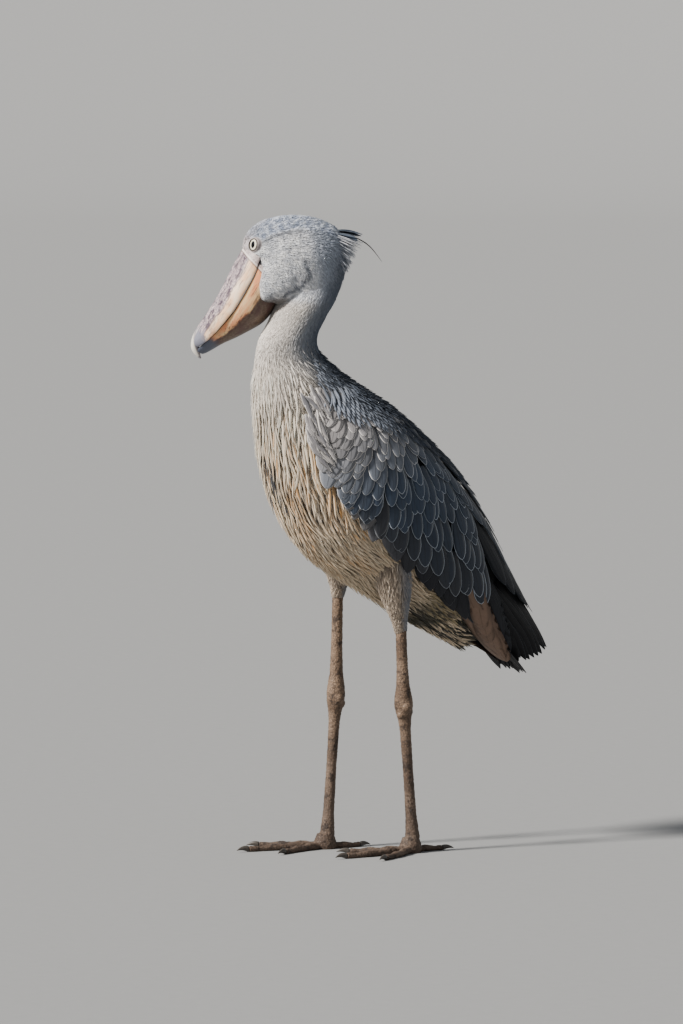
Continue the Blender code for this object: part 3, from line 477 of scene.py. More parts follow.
def trunk_tone(s, turn):
    """The coat's colour on the trunk: slate back, pale throat and breast, buff belly, dark under the tail."""
    degrees = np.degrees(np.abs(turn))
    neck = between(degrees, [38, 87, 119, 154], [srgb(84, 94, 110), srgb(136, 142, 152), srgb(196, 191, 186), srgb(206, 199, 192)])
    breast = between(degrees, [45, 75, 105, 160], [srgb(40, 50, 62), srgb(104, 109, 118), srgb(192, 184, 174), srgb(204, 195, 183)])
    belly = between(degrees, [40, 80, 110, 160], [srgb(36, 44, 56), srgb(90, 86, 80), srgb(170, 154, 132), srgb(168, 152, 132)])
    rump = between(degrees, [40, 80, 180], [srgb(36, 42, 52), srgb(62, 60, 52), srgb(70, 66, 54)])
    colour = toned(blend_in(3.0, 5.0, s), neck, breast)
    colour = toned(blend_in(7.6, 9.6, s), colour, belly)
    return toned(blend_in(11.2, 12.6, s), colour, rump)


def head_local(points):
    """Left, forward and up from the middle of the head."""
    away = points - HEAD_PIVOT
    return away @ HEAD_LEFT, away @ HEAD_AHEAD - SKULL_FORWARD, away[:, 2] - SKULL_HEIGHT


# The lower edge of the dark cap, with a painted shadow just under it, and the groove behind the jowl, which holds
# painted shade, as places ahead and up.
CAP_EDGE = [(-0.085, 0.040), (-0.045, 0.058), (-0.0087, 0.0625), (0.0114, 0.0605), (0.0313, 0.0564), (0.0462, 0.0504), (0.0624, 0.0410), (0.085, 0.030)]
JOWL_SHADE_LINE = [(-0.0112, 0.0111), (-0.0137, -0.0015), (-0.0199, -0.0140), (-0.0112, -0.0239), (0.0064, -0.0389), (0.0213, -0.0488), (0.0313, -0.0637), (0.0462, -0.0687)]


def near_line(ahead, up, line):
    """Distance in the side view from a line of places."""
    points = smooth_at(line, np.linspace(0, len(line) - 1, 60))
    return np.sqrt(((ahead[:, None] - points[:, 0]) ** 2 + (up[:, None] - points[:, 1]) ** 2).min(1))


def plumage_colour(points):
    """The coat's colour anywhere: dark cap, pale cheeks, pinkish face by the bill, slate nape, and the trunk, with
    painted shadow under the cap's edge, painted shade in the groove behind the jowl, and dark grey gular feathers
    deepened by painted shade under the jaw.
    """
    colour = trunk_tone(*trunk_place(points))
    left, ahead, up = head_local(points)
    cap_edge = np.interp(ahead, *np.array(CAP_EDGE).T)
    cheek = toned(np.clip(0.5 + 0.5 * mottle(points, 55, 3), 0, 1), srgb(184, 187, 194), srgb(232, 233, 237)) * (1 + 0.10 * mottle(points, 120, 4))[:, None]
    cheek = toned(blend_in(0.010, 0.055, -ahead + 0.25 * up), cheek, srgb(150, 158, 172))
    cheek = toned(blend_in(0.050, 0.085, -ahead - 0.2 * up), cheek, srgb(92, 100, 114))
    # Painted shadow in a band just under the cap's edge, and painted shade in the groove behind the jowl.
    cap_shadow = np.exp(-((up - cap_edge + 0.0030) / 0.0030) ** 2) * blend_in(-0.04, 0.02, ahead) * 0.75
    groove = np.exp(-(near_line(ahead, up, JOWL_SHADE_LINE) / 0.0045) ** 2) * 0.85 * blend_in(0.008, 0.022, np.abs(left))
    cheek = toned(np.clip(cap_shadow + groove, 0, 0.8), cheek, srgb(70, 78, 92))
    cap = toned(np.clip(0.5 + 0.6 * mottle(points, 60, 5), 0, 1), srgb(146, 156, 176), srgb(204, 211, 225)) * (1 + 0.12 * mottle(points, 130, 6))[:, None]
    head = toned(blend_in(-0.002, 0.004, up - cap_edge), cheek, cap)
    face = blend_in(0.070, 0.082, ahead - 0.25 * np.abs(left) + 0.45 * (up - 0.03))
    head = toned(face * (up > -0.02) * (0.75 - 0.6 * blend_in(0.038, 0.056, up)), head, srgb(196, 182, 179))
    head = head * (1 - 0.26 * blend_in(0.045, 0.080, ahead) * blend_in(0.030, 0.050, up))[:, None]
    # Under the jaw: the dark grey of the gular feathers, deepened as painted shade under the bill.
    gular_grey_and_shade = blend_in(0.052, 0.068, -up)
    head = toned(gular_grey_and_shade, head, toned(blend_in(0.0, 0.05, ahead), colour, np.broadcast_to(srgb(74, 72, 74), colour.shape)))
    on_head = blend_in(-0.110, -0.052, up - 0.35 * np.minimum(ahead + 0.02, 0)) * (np.hypot(ahead, up) < 0.135)
    return toned(on_head, colour, head)


def paint_points(piece, name, colours, alpha=1.0):
    """Stores one colour for each vertex."""
    layer = piece.data.color_attributes.new(name=name, type="FLOAT_COLOR", domain="POINT")
    rows = np.empty((len(piece.data.vertices), 4), np.float32)
    rows[:, :3] = colours
    rows[:, 3] = alpha
    layer.data.foreach_set("color", rows.ravel())


def attribute(tree, name, output="Color"):
    made = tree.nodes.new("ShaderNodeAttribute")
    made.attribute_name = name
    return made.outputs[output]


left, ahead, up = head_local(vertex_places(skin))
bare = blend_in(0.070, 0.076, ahead - 0.25 * np.abs(left) + 0.45 * (up - 0.03)) * (up > -0.02) * (up < 0.056)
# Painted shade: where feathers cover it, the skin takes 0.7 of the plumage colour, darkening the gaps between feathers;
# the bare face by the bill keeps its full colour.
skin_tone = plumage_colour(vertex_places(skin)) * (0.7 + 0.3 * bare)[:, None]
in_wing = np.abs(trunk_place(vertex_places(skin))[1]) < np.radians(112)
deep = in_wing & (vertex_places(skin)[:, 2] < 0.83) & (vertex_places(skin)[:, 2] > 0.35)
skin_tone[deep] = np.minimum(skin_tone[deep], srgb(44, 51, 62))
paint_points(skin, "tint", skin_tone)
down, tree, shader = new_material("down_and_skin", 0.9, 0.2)
where = node(tree, "ShaderNodeTexCoord").outputs["Object"]
patches = mixed(tree, noise(tree, where, 90, 4), (0.6, 0.6, 0.6), (1.2, 1.2, 1.2))
tree.links.new(mixed(tree, 1.0, attribute(tree, "tint"), patches, "MULTIPLY"), shader.inputs["Base Color"])
bumped(tree, shader, noise(tree, where, 260, 4), 0.5, 0.002)
skin.data.materials.append(down)
skin.data.shade_smooth()
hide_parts("head", "neck", "torso", "thigh_left", "thigh_right")
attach(skin, "root")


# The eyes: glassy balls with an upright dark pupil in a cream ring, set in bare lids with a dark rim
# and fine folds that run out into the skin of the face. The ball is a sphere with a flattened front.
eye_glass, tree, shader = new_material("eye_glass", 0.08, 0.6)
parts = node(tree, "ShaderNodeSeparateXYZ", Vector=attribute(tree, "look", "Vector"))
across, upward = parts.outputs[0], parts.outputs[1]


def oval(wide, tall):
    """1 on the edge of an upright oval round the gaze, in eye radii."""
    first = maths(tree, "POWER", maths(tree, "DIVIDE", across, wide), 2.0)
    return maths(tree, "SQRT", maths(tree, "ADD", first, maths(tree, "POWER", maths(tree, "DIVIDE", upward, tall), 2.0)))


pupil, ring = oval(0.43, 0.54), oval(0.80, 0.84)
bearing = maths(tree, "MULTIPLY", maths(tree, "ARCTAN2", upward, across), 6.0)
rays = noise(tree, node(tree, "ShaderNodeCombineXYZ", X=bearing, Y=ring).outputs[0], 3, 4)
iris = mixed(tree, rays, srgb(226, 220, 196), srgb(252, 248, 232))
iris = mixed(tree, ramp(tree, ring, 0.90, 1.0), iris, srgb(92, 82, 70))
iris = mixed(tree, ramp(tree, pupil, 0.95, 1.10), (0.004, 0.004, 0.005), iris)
tree.links.new(iris, shader.inputs["Base Color"])
shader.inputs["Coat Weight"].default_value = 0.5
shader.inputs["Coat Roughness"].default_value = 0.03
bumped(tree, shader, rays, 0.05, 0.0003)

lid_skin, tree, shader = new_material("lid_skin", 0.6, 0.3)
where = node(tree, "ShaderNodeTexCoord").outputs["Object"]
folds = noise(tree, where, 600, 3)
# Painted shade: the lid skin is darker in the hollows of the folds, by the same noise that bumps them.
fold_shade = mixed(tree, folds, (0.62, 0.62, 0.62), (1.25, 1.25, 1.25))
tree.links.new(mixed(tree, 1.0, attribute(tree, "tint"), fold_shade, "MULTIPLY"), shader.inputs["Base Color"])
bumped(tree, shader, folds, 0.5, 0.0006)

# Rings of the lids from inside out: reach from the gaze, height, how far it follows the skin, and lift over it.
LID_RINGS = [
    (0.0092, 0.0054, 0.0, 0.0), (0.0096, 0.0070, 0.0, 0.0), (0.0098, 0.0080, 0.0, 0.0), (0.0103, 0.0084, 0.0, 0.0),
    (0.0109, 0.0079, 0.0, 0.0), (0.0114, 0.0067, 0.1, 0.0010), (0.0119, 0.0070, 0.4, 0.0016), (0.0125, 0.0066, 0.8, 0.0014),
    (0.0130, 0.0060, 1.0, 0.0004), (0.0136, 0.0060, 1.0, 0.0008), (0.0143, 0.0060, 1.0, 0.0001), (0.0152, 0.0060, 1.0, -0.0010),
]
for side, name in ((1, "left"), (-1, "right")):
    centre, outward, upward, sideways = eye_seat(side)
    bpy.ops.object.select_all(action="DESELECT")
    bpy.ops.mesh.primitive_uv_sphere_add(segments=48, ring_count=32, radius=EYE_RADIUS)
    ball = bpy.context.object
    ball.name = "eyeball_" + name
    local = vertex_places(ball) / EYE_RADIUS
    level = np.where(local[:, 2] > 0.56, 0.56 + (local[:, 2] - 0.56) * 0.32, local[:, 2])
    move_vertices(ball, centre + EYE_RADIUS * (local[:, :1] * sideways + local[:, 1:2] * upward + level[:, None] * outward))
    layer = ball.data.attributes.new("look", "FLOAT_VECTOR", "POINT")
    layer.data.foreach_set("vector", local.astype(np.float32).ravel())
    ball.data.materials.append(eye_glass)
    ball.data.shade_smooth()
    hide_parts("eye_" + name)
    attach(ball, "root")

    rings = []
    turn = np.linspace(0, 2 * math.pi, 48, endpoint=False)
    for reach, height, follow, lift in LID_RINGS:
        corner = np.interp(reach, [0.0098, 0.0109, 0.0120, 0.0160], [0.97, 1.20, 1.15, 1.04])
        flat = centre + reach * (np.cos(turn)[:, None] * corner * sideways + np.sin(turn)[:, None] * upward)
        heights = []
        for point in flat:
            hit = skin_tree.ray_cast(Vector(point + outward * 0.04), Vector(-outward))[0]
            level = (np.array(hit) - point) @ outward if hit else height
            heights.append(height * (1 - follow) + (level + lift) * follow)
        rings.append(flat + np.array(heights)[:, None] * outward)
    lids = drawn_through("lids_" + name, rings)
    bpy.ops.object.mode_set(mode="EDIT")
    bpy.ops.mesh.select_all(action="DESELECT")
    shape = bmesh.from_edit_mesh(lids.data)
    for face in shape.faces:
        face.select = len(face.verts) > 4
    bmesh.update_edit_mesh(lids.data)
    bpy.ops.mesh.delete(type="FACE")
    bpy.ops.object.mode_set(mode="OBJECT")
    apply_modifier(lids, "SUBSURF", levels=2, render_levels=2)
    away = vertex_places(lids) - centre
    x, y = away @ sideways, away @ upward
    reach = np.hypot(x / 1.12, y)
    # Dark rim at the lid's edge, then painted shade: a darker ring in the groove just outside the lid's raised top.
    paint_points(lids, "tint", between(reach, [0.0098, 0.0107, 0.0113, 0.0119, 0.0128, 0.0150], [
        srgb(36, 29, 27), srgb(44, 36, 33), srgb(92, 82, 80), srgb(188, 178, 176), srgb(138, 131, 132), srgb(190, 186, 188),
    ]))
    lids.data.materials.append(lid_skin)
    lids.data.shade_smooth()
    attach(lids, "root")


# The bill: two deep horny halves that meet in a wavy line, the upper with a raised ridge between
# two grooves and a slit nostril on each side of it, capped by a pale hooked nail over the tip.
GAPE_FORWARD, GAPE_HEIGHT = 0.0855, 1.0584
BILL_PITCH = math.radians(60.3)
MOUTH_GAP = 0.0006
# Along the bill: ridge height, mouth line height, half width.
UPPER_BILL = [
    (-0.022, 0.037, 0.003, 0.040), (-0.005, 0.0382, 0.001, 0.0445), (0.015, 0.0386, -0.003, 0.0475),
    (0.037, 0.0377, -0.004, 0.0500), (0.063, 0.0360, -0.0038, 0.0520), (0.093, 0.0356, -0.0035, 0.0500),
    (0.120, 0.0367, 0.0005, 0.0450), (0.145, 0.0388, 0.0055, 0.0380), (0.163, 0.0395, 0.0105, 0.0300),
    (0.176, 0.0372, 0.0160, 0.0205), (0.184, 0.0335, 0.0205, 0.0100),
]
# Along the bill: mouth line height, underside height, half width.
LOWER_BILL = [
    (-0.004, 0.001, -0.050, 0.0425), (0.020, -0.0032, -0.062, 0.0460), (0.045, -0.004, -0.065, 0.0482),
    (0.070, -0.0040, -0.064, 0.0492), (0.092, -0.0035, -0.058, 0.0475), (0.112, -0.0010, -0.046, 0.0432),
    (0.135, 0.0038, -0.031, 0.0362), (0.155, 0.0090, -0.016, 0.0284), (0.172, 0.0145, -0.006, 0.0200),
    (0.185, 0.0190, 0.002, 0.0118), (0.191, 0.0180, 0.008, 0.0060),
]
# The nail, along the bill: height, half width, half thickness.
HOOK = [
    (0.146, 0.0340, 0.0090, 0.0030), (0.160, 0.0350, 0.0125, 0.0048), (0.173, 0.0318, 0.0130, 0.0066),
    (0.184, 0.0262, 0.0105, 0.0078), (0.1905, 0.0200, 0.0078, 0.0068), (0.1955, 0.0130, 0.0045, 0.0042),
    (0.1985, 0.0060, 0.0014, 0.0013),
]
NOSTRIL_ALONG, NOSTRIL_SIDE = 0.022, 0.0125


def bill_place(along, height, side):
    """A place on the bill: along its axis from the gape, towards its ridge, and to its left."""
    forward = GAPE_FORWARD + along * math.cos(BILL_PITCH) + height * math.sin(BILL_PITCH)
    up = GAPE_HEIGHT - along * math.sin(BILL_PITCH) + height * math.cos(BILL_PITCH)
    return head_place(side, forward, up)


def bill_local(points):
    """Along, height and side of points, the other way round."""
    away = points - HEAD_PIVOT
    forward, up = away @ HEAD_AHEAD - GAPE_FORWARD, away[:, 2] - GAPE_HEIGHT
    along = forward * math.cos(BILL_PITCH) - up * math.sin(BILL_PITCH)
    height = forward * math.sin(BILL_PITCH) + up * math.cos(BILL_PITCH)
    return along, height, away @ HEAD_LEFT


def both_halves(half, along):
    """A ring from half a profile that starts and ends on the middle plane."""
    side, height = np.array(half).T
    side = np.concatenate([side, -side[-2:0:-1]])
    height = np.concatenate([height, height[-2:0:-1]])
    return bill_place(np.full(len(side), along), height, side)


def upper_profile(along, ridge, mouth, half_width):
    deep = ridge - mouth
    crest = min(0.0065, half_width * 0.38)
    return both_halves([
        (0.0, ridge), (crest * 0.6, ridge - deep * 0.006), (crest, ridge - deep * 0.045),
        (crest * 1.25, ridge - deep * 0.13), (crest * 1.6, ridge - deep * 0.155),
        (half_width * 0.45, ridge - deep * 0.16), (half_width * 0.66, ridge - deep * 0.25),
        (half_width * 0.84, ridge - deep * 0.42), (half_width * 0.95, ridge - deep * 0.62),
        (half_width, mouth + deep * 0.18), (half_width * 0.995, mouth + deep * 0.07),
        (half_width * 0.975, mouth + MOUTH_GAP / 2), (half_width * 0.93, mouth + MOUTH_GAP / 2 + 0.0003),
        (half_width * 0.5, mouth + MOUTH_GAP / 2 + 0.0008), (0.0, mouth + MOUTH_GAP / 2 + 0.0008),
    ], along)


def lower_profile(along, mouth, under, half_width):
    deep = mouth - under
    return both_halves([
        (0.0, mouth - MOUTH_GAP / 2), (half_width * 0.6, mouth - MOUTH_GAP / 2),
        (half_width * 0.95, mouth - MOUTH_GAP / 2 - 0.0002), (half_width * 0.985, mouth - MOUTH_GAP / 2 - 0.0006),
        (half_width * 0.995, mouth - deep * 0.08), (half_width, mouth - deep * 0.20),
        (half_width * 0.965, mouth - deep * 0.38), (half_width * 0.86, mouth - deep * 0.58),
        (half_width * 0.68, mouth - deep * 0.78), (half_width * 0.42, mouth - deep * 0.94), (0.0, under),
    ], along)


def along_table(rows, along):
    """The other columns of a table whose first one is the place along the bill."""
    table = np.array(rows)
    return [np.interp(along, table[:, 0], table[:, k]) for k in (1, 2, 3)]


def horn(name, sides, far, split, blotch, groove, stripes, tip, tip_tone):
    """Horn from the mouth line (level 0) to the ridge or the underside (level 1): warm sides, a far band
    beyond a wavy split, mauve on the upper half and on the lower half dark, partly painted shade where the underside
    turns from the light, cloudy blotches, growth lines, and a grey tip."""
    made, tree, shader = new_material(name, 0.45, 0.35)
    spot = attribute(tree, "along_bill", "Vector")
    zones = node(tree, "ShaderNodeSeparateColor", Color=attribute(tree, "zone"))
    level, along, slit = zones.outputs[0], zones.outputs[1], attribute(tree, "zone", "Alpha")
    cloud = noise(tree, node(tree, "ShaderNodeMapping", Vector=spot, Scale=(0.30, 1.0, 1.0)).outputs[0], 75, 5, 0.6)
    fleck = noise(tree, spot, 300, 4, 0.7)
    lines = noise(tree, node(tree, "ShaderNodeMapping", Vector=spot, Scale=(0.06, 1.0, 1.0)).outputs[0], 430, 3)
    wavy = maths(tree, "ADD", level, maths(tree, "MULTIPLY", maths(tree, "SUBTRACT", cloud, 0.5), 0.45))
    band = ramp(tree, wavy, split - 0.07, split + 0.07)
    colour = mixed(tree, ramp(tree, cloud, 0.36, 0.62), sides[0], sides[1])
    vein = maths(tree, "MULTIPLY", ramp(tree, lines, 0.52, 0.64), ramp(tree, wavy, split - 0.46, split - 0.05))
    colour = mixed(tree, maths(tree, "MULTIPLY", vein, 0.70), colour, blotch)
    colour = mixed(tree, band, colour, mixed(tree, ramp(tree, fleck, 0.35, 0.65), far[0], far[1]))
    blot = noise(tree, node(tree, "ShaderNodeMapping", Vector=spot, Scale=(0.5, 1.0, 1.0)).outputs[0], 120, 5, 0.65)
    forward = ramp(tree, along, 0.66, 0.84)
    dark = maths(tree, "MULTIPLY", ramp(tree, blot, 0.48, 0.58), maths(tree, "MAXIMUM", maths(tree, "MULTIPLY", band, 0.9), maths(tree, "MULTIPLY", forward, 0.75)))
    colour = mixed(tree, dark, colour, blotch)
    cloudy = maths(tree, "MULTIPLY", ramp(tree, noise(tree, spot, 38, 4, 0.6), 0.50, 0.62), ramp(tree, wavy, split - 0.30, split + 0.05))
    colour = mixed(tree, maths(tree, "MULTIPLY", cloudy, 0.45), colour, blotch)
    line = maths(tree, "SUBTRACT", 1.0, maths(tree, "MULTIPLY", maths(tree, "ABSOLUTE", maths(tree, "SUBTRACT", wavy, split)), 28.0), True)
    colour = mixed(tree, maths(tree, "MULTIPLY", line, groove), colour, blotch)
    colour = mixed(tree, ramp(tree, maths(tree, "ADD", along, maths(tree, "MULTIPLY", cloud, 0.10)), tip, tip + 0.08), colour, tip_tone)
    wave = maths(tree, "ADD", maths(tree, "MULTIPLY", along, 760.0), maths(tree, "MULTIPLY", fleck, 7.0))
    stripe = maths(tree, "MULTIPLY", maths(tree, "ADD", maths(tree, "SINE", wave), 1.0), stripes)
    colour = mixed(tree, stripe, colour, blotch)
    ragged_base = maths(tree, "ADD", along, maths(tree, "MULTIPLY", maths(tree, "SUBTRACT", fleck, 0.5), 0.010))
    face = mixed(tree, ramp(tree, fleck, 0.35, 0.65), srgb(150, 138, 140), srgb(206, 192, 188))
    rise = mixed(tree, ramp(tree, ragged_base, 0.026, 0.034), srgb(226, 212, 206), mixed(tree, 0.75, colour, srgb(96, 80, 78)))
    colour = mixed(tree, ramp(tree, ragged_base, 0.036, 0.046), rise, colour)
    colour = mixed(tree, ramp(tree, ragged_base, 0.012, 0.018), face, colour)
    # Painted shade: a deep brown along the mouth line, in the crevice where the two halves meet.
    colour = mixed(tree, zones.outputs[2], colour, srgb(60, 44, 38))
    # Painted shade: the nostril slits are near-black, as the inside of the openings would be.
    colour = mixed(tree, slit, colour, srgb(24, 20, 20))
    tree.links.new(mixed(tree, 0.30, colour, mixed(tree, lines, (0.30, 0.29, 0.28), (1.0, 0.98, 0.96)), "OVERLAY"), shader.inputs["Base Color"])
    bumped(tree, shader, maths(tree, "ADD", lines, fleck), 0.4, 0.0006)
    return made


def finish_bill_part(piece, made, node_name, zones):
    """Smooths a part of the bill and stores where on it each point lies, for its horn."""
    apply_modifier(piece, "SUBSURF", levels=2, render_levels=2)
    places = vertex_places(piece)
    along, height, side = bill_local(places)
    level, rim = zones(along, height, np.abs(side))
    # Nostril slit: a shallow dent, painted near-black in the horn as shade inside the opening.
    slit = np.exp(-((along - NOSTRIL_ALONG) / 0.0060) ** 2 - ((np.abs(side) - NOSTRIL_SIDE) / 0.0020) ** 2) * (level > 0.6)
    move_vertices(piece, places - slit[:, None] * 0.0020 * (bill_place(0, 1.0, 0) - bill_place(0, 0.0, 0)))
    layer = piece.data.attributes.new("along_bill", "FLOAT_VECTOR", "POINT")
    layer.data.foreach_set("vector", np.stack([along, height, side], -1).astype(np.float32).ravel())
    paint_points(piece, "zone", np.stack([level, (along + 0.30 * height) * 5, rim], -1), slit * (piece.name[0] == "u"))
    piece.data.materials.append(made)
    piece.data.shade_smooth()
    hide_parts(node_name)
    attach(piece, "root")


# Each zones function gives the level across the half, and a mask at the mouth line for the painted shade in the
# crevice.
def upper_zones(along, height, side):
    ridge_height, mouth, half_width = along_table(UPPER_BILL, along)
    level = (height - mouth) / np.maximum(ridge_height - mouth, 1e-4)
    return np.clip(level, 0, 1), (1 - blend_in(0.01, 0.04, level)) * 0.85


def lower_zones(along, height, side):
    mouth, under, half_width = along_table(LOWER_BILL, along)
    level = (mouth - height) / np.maximum(mouth - under, 1e-4)
    return np.clip(level, 0, 1), (1 - blend_in(0.008, 0.030, level)) * 0.9


upper_horn = horn(
    "upper_horn", (srgb(254, 226, 196), srgb(248, 194, 152)), (srgb(112, 101, 116), srgb(198, 180, 178)), 0.50,
    srgb(66, 53, 66), 0.85, 0.03, 0.84, srgb(122, 124, 138),
)
# The lower half's far band is dark: partly the horn's own colour, partly painted shade on the underside that turns away
# from the light.
lower_horn = horn(
    "lower_horn", (srgb(255, 210, 156), srgb(255, 164, 114)), (srgb(74, 62, 53), srgb(112, 96, 82)), 0.42,
    srgb(80, 58, 56), 0.25, 0.10, 0.80, srgb(84, 92, 108),
)
upper_bill = drawn_through("upper_bill_horn", [
    upper_profile(*smooth_at(UPPER_BILL, s)) for s in np.linspace(0, len(UPPER_BILL) - 1, 30)
])
finish_bill_part(upper_bill, upper_horn, "upper_bill", upper_zones)
lower_bill = drawn_through("lower_bill_horn", [
    lower_profile(*smooth_at(LOWER_BILL, s)) for s in np.linspace(0, len(LOWER_BILL) - 1, 30)
])
finish_bill_part(lower_bill, lower_horn, "lower_bill", lower_zones)

nail_rings = []
for s in np.linspace(0, len(HOOK) - 1, 17):
    along, height, half_width, half_thick = smooth_at(HOOK, s)
    ahead = smooth_at(HOOK, min(s + 0.2, len(HOOK) - 1)) - smooth_at(HOOK, max(s - 0.2, 0))
    run, rise = unit(ahead[:2])
    turn = np.linspace(0, 2 * math.pi, 16, endpoint=False)
    thick = np.cos(turn) * half_thick
    nail_rings.append(bill_place(along - rise * thick, height + run * thick, np.sin(turn) * half_width))
nail = drawn_through("bill_nail", nail_rings)
nail_horn, tree, shader = new_material("nail_horn", 0.35, 0.45)
zones = node(tree, "ShaderNodeSeparateColor", Color=attribute(tree, "zone"))
grain = noise(tree, attribute(tree, "along_bill", "Vector"), 380, 4)
colour = mixed(tree, zones.outputs[0], mixed(tree, grain, srgb(120, 112, 116), srgb(176, 170, 172)), mixed(tree, grain, srgb(206, 200, 190), srgb(240, 236, 228)))
tree.links.new(colour, shader.inputs["Base Color"])
bumped(tree, shader, grain, 0.3, 0.0004)


def nail_zones(along, height, side):
    outer = np.interp(along, [0.146, 0.160, 0.173, 0.184, 0.1905, 0.1955], [0.040, 0.0385, 0.0350, 0.0270, 0.0180, 0.0110])
    return blend_in(-0.001, 0.0025, height - outer) * blend_in(0.160, 0.174, along), np.zeros(len(along))


finish_bill_part(nail, nail_horn, "bill_hook", nail_zones)
bill_trees = [BVHTree.FromObject(piece, bpy.context.evaluated_depsgraph_get()) for piece in (upper_bill, lower_bill)]


# The small feathers of the head: short, soft and flat, smallest round the eye and the bill, each a
# thin closed blade rooted in the skin. They lie back over the crown and down over cheeks and nape.
draw = np.random.default_rng(7)
GOLDEN = math.pi * (3 - math.sqrt(5))
# Each outline: widest place along the feather, width at the root, and how round the tip is.
OUTLINES = {
    "tuft": (0.40, 0.40, 0.9), "lance": (0.50, 0.35, 0.95), "covert": (0.60, 0.50, 0.58), "flight": (0.84, 0.55, 0.5),
    "blade": (0.66, 0.60, 0.78),
}


def comb(roots, lies, lengths, steps, low, high):
    """Carries each feather over the skin from its root along its lie. low and high are the heights
    of root and tip over the skin. Gives the points and the directions outwards."""
    centre = np.empty((len(roots), steps + 1, 3))
    out = np.empty_like(centre)
    for i, (root, lie, length) in enumerate(zip(roots, lies, lengths)):
        place, up = skin_tree.find_nearest(Vector(root))[:2]
        ahead = Vector(lie)
        for k in range(steps + 1):
            centre[i, k] = place
            out[i, k] = up
            ahead -= up * ahead.dot(up)
            ahead.normalize()
            place, up = skin_tree.find_nearest(place + ahead * (length / steps))[:2]
    out[:, 1:-1] = out[:, :-2] + out[:, 1:-1] + out[:, 2:]
    out = unit(out)
    t = np.linspace(0, 1, steps + 1)[None, :, None]
    low, high = (np.broadcast_to(value, len(roots))[:, None, None] for value in (low, high))
    return centre + out * (low + (high - low) * t), out


def over_surface(rows, s, turn, lie, length, low, high, t, curl=0.0):
    """Feathers worked back from their tips over the body's or the wing's surface. lie is the turn, in
    degrees, from straight tailwards to the belly; t are the places along the feather."""
    count, stops = len(s), len(t)
    at_s, at_turn = np.empty((count, stops)), np.empty((count, stops))
    at_s[:, -1], at_turn[:, -1] = s, turn
    lie, length, low, high, curl = (np.broadcast_to(value, count) for value in (lie, length, low, high, curl))
    for k in range(stops - 1, 0, -1):
        along, around = surface_frame(rows, at_s[:, k], at_turn[:, k])
        way = np.radians(lie + curl * (t[k] - 0.5)) * np.where(turn < 0, -1, 1)
        step = length * (t[k] - t[k - 1])
        at_s[:, k - 1] = at_s[:, k] - step * np.cos(way) / np.linalg.norm(along, axis=-1)
        at_turn[:, k - 1] = at_turn[:, k] - step * np.sin(way) / np.linalg.norm(around, axis=-1)
    points = lifted(rows, at_s, at_turn, low[:, None] + (high - low)[:, None] * t)
    along, around = surface_frame(rows, np.minimum(at_s, len(rows) - 1.05), at_turn)
    return points, unit(np.cross(around, along)), at_s[:, 0], at_turn[:, 0]


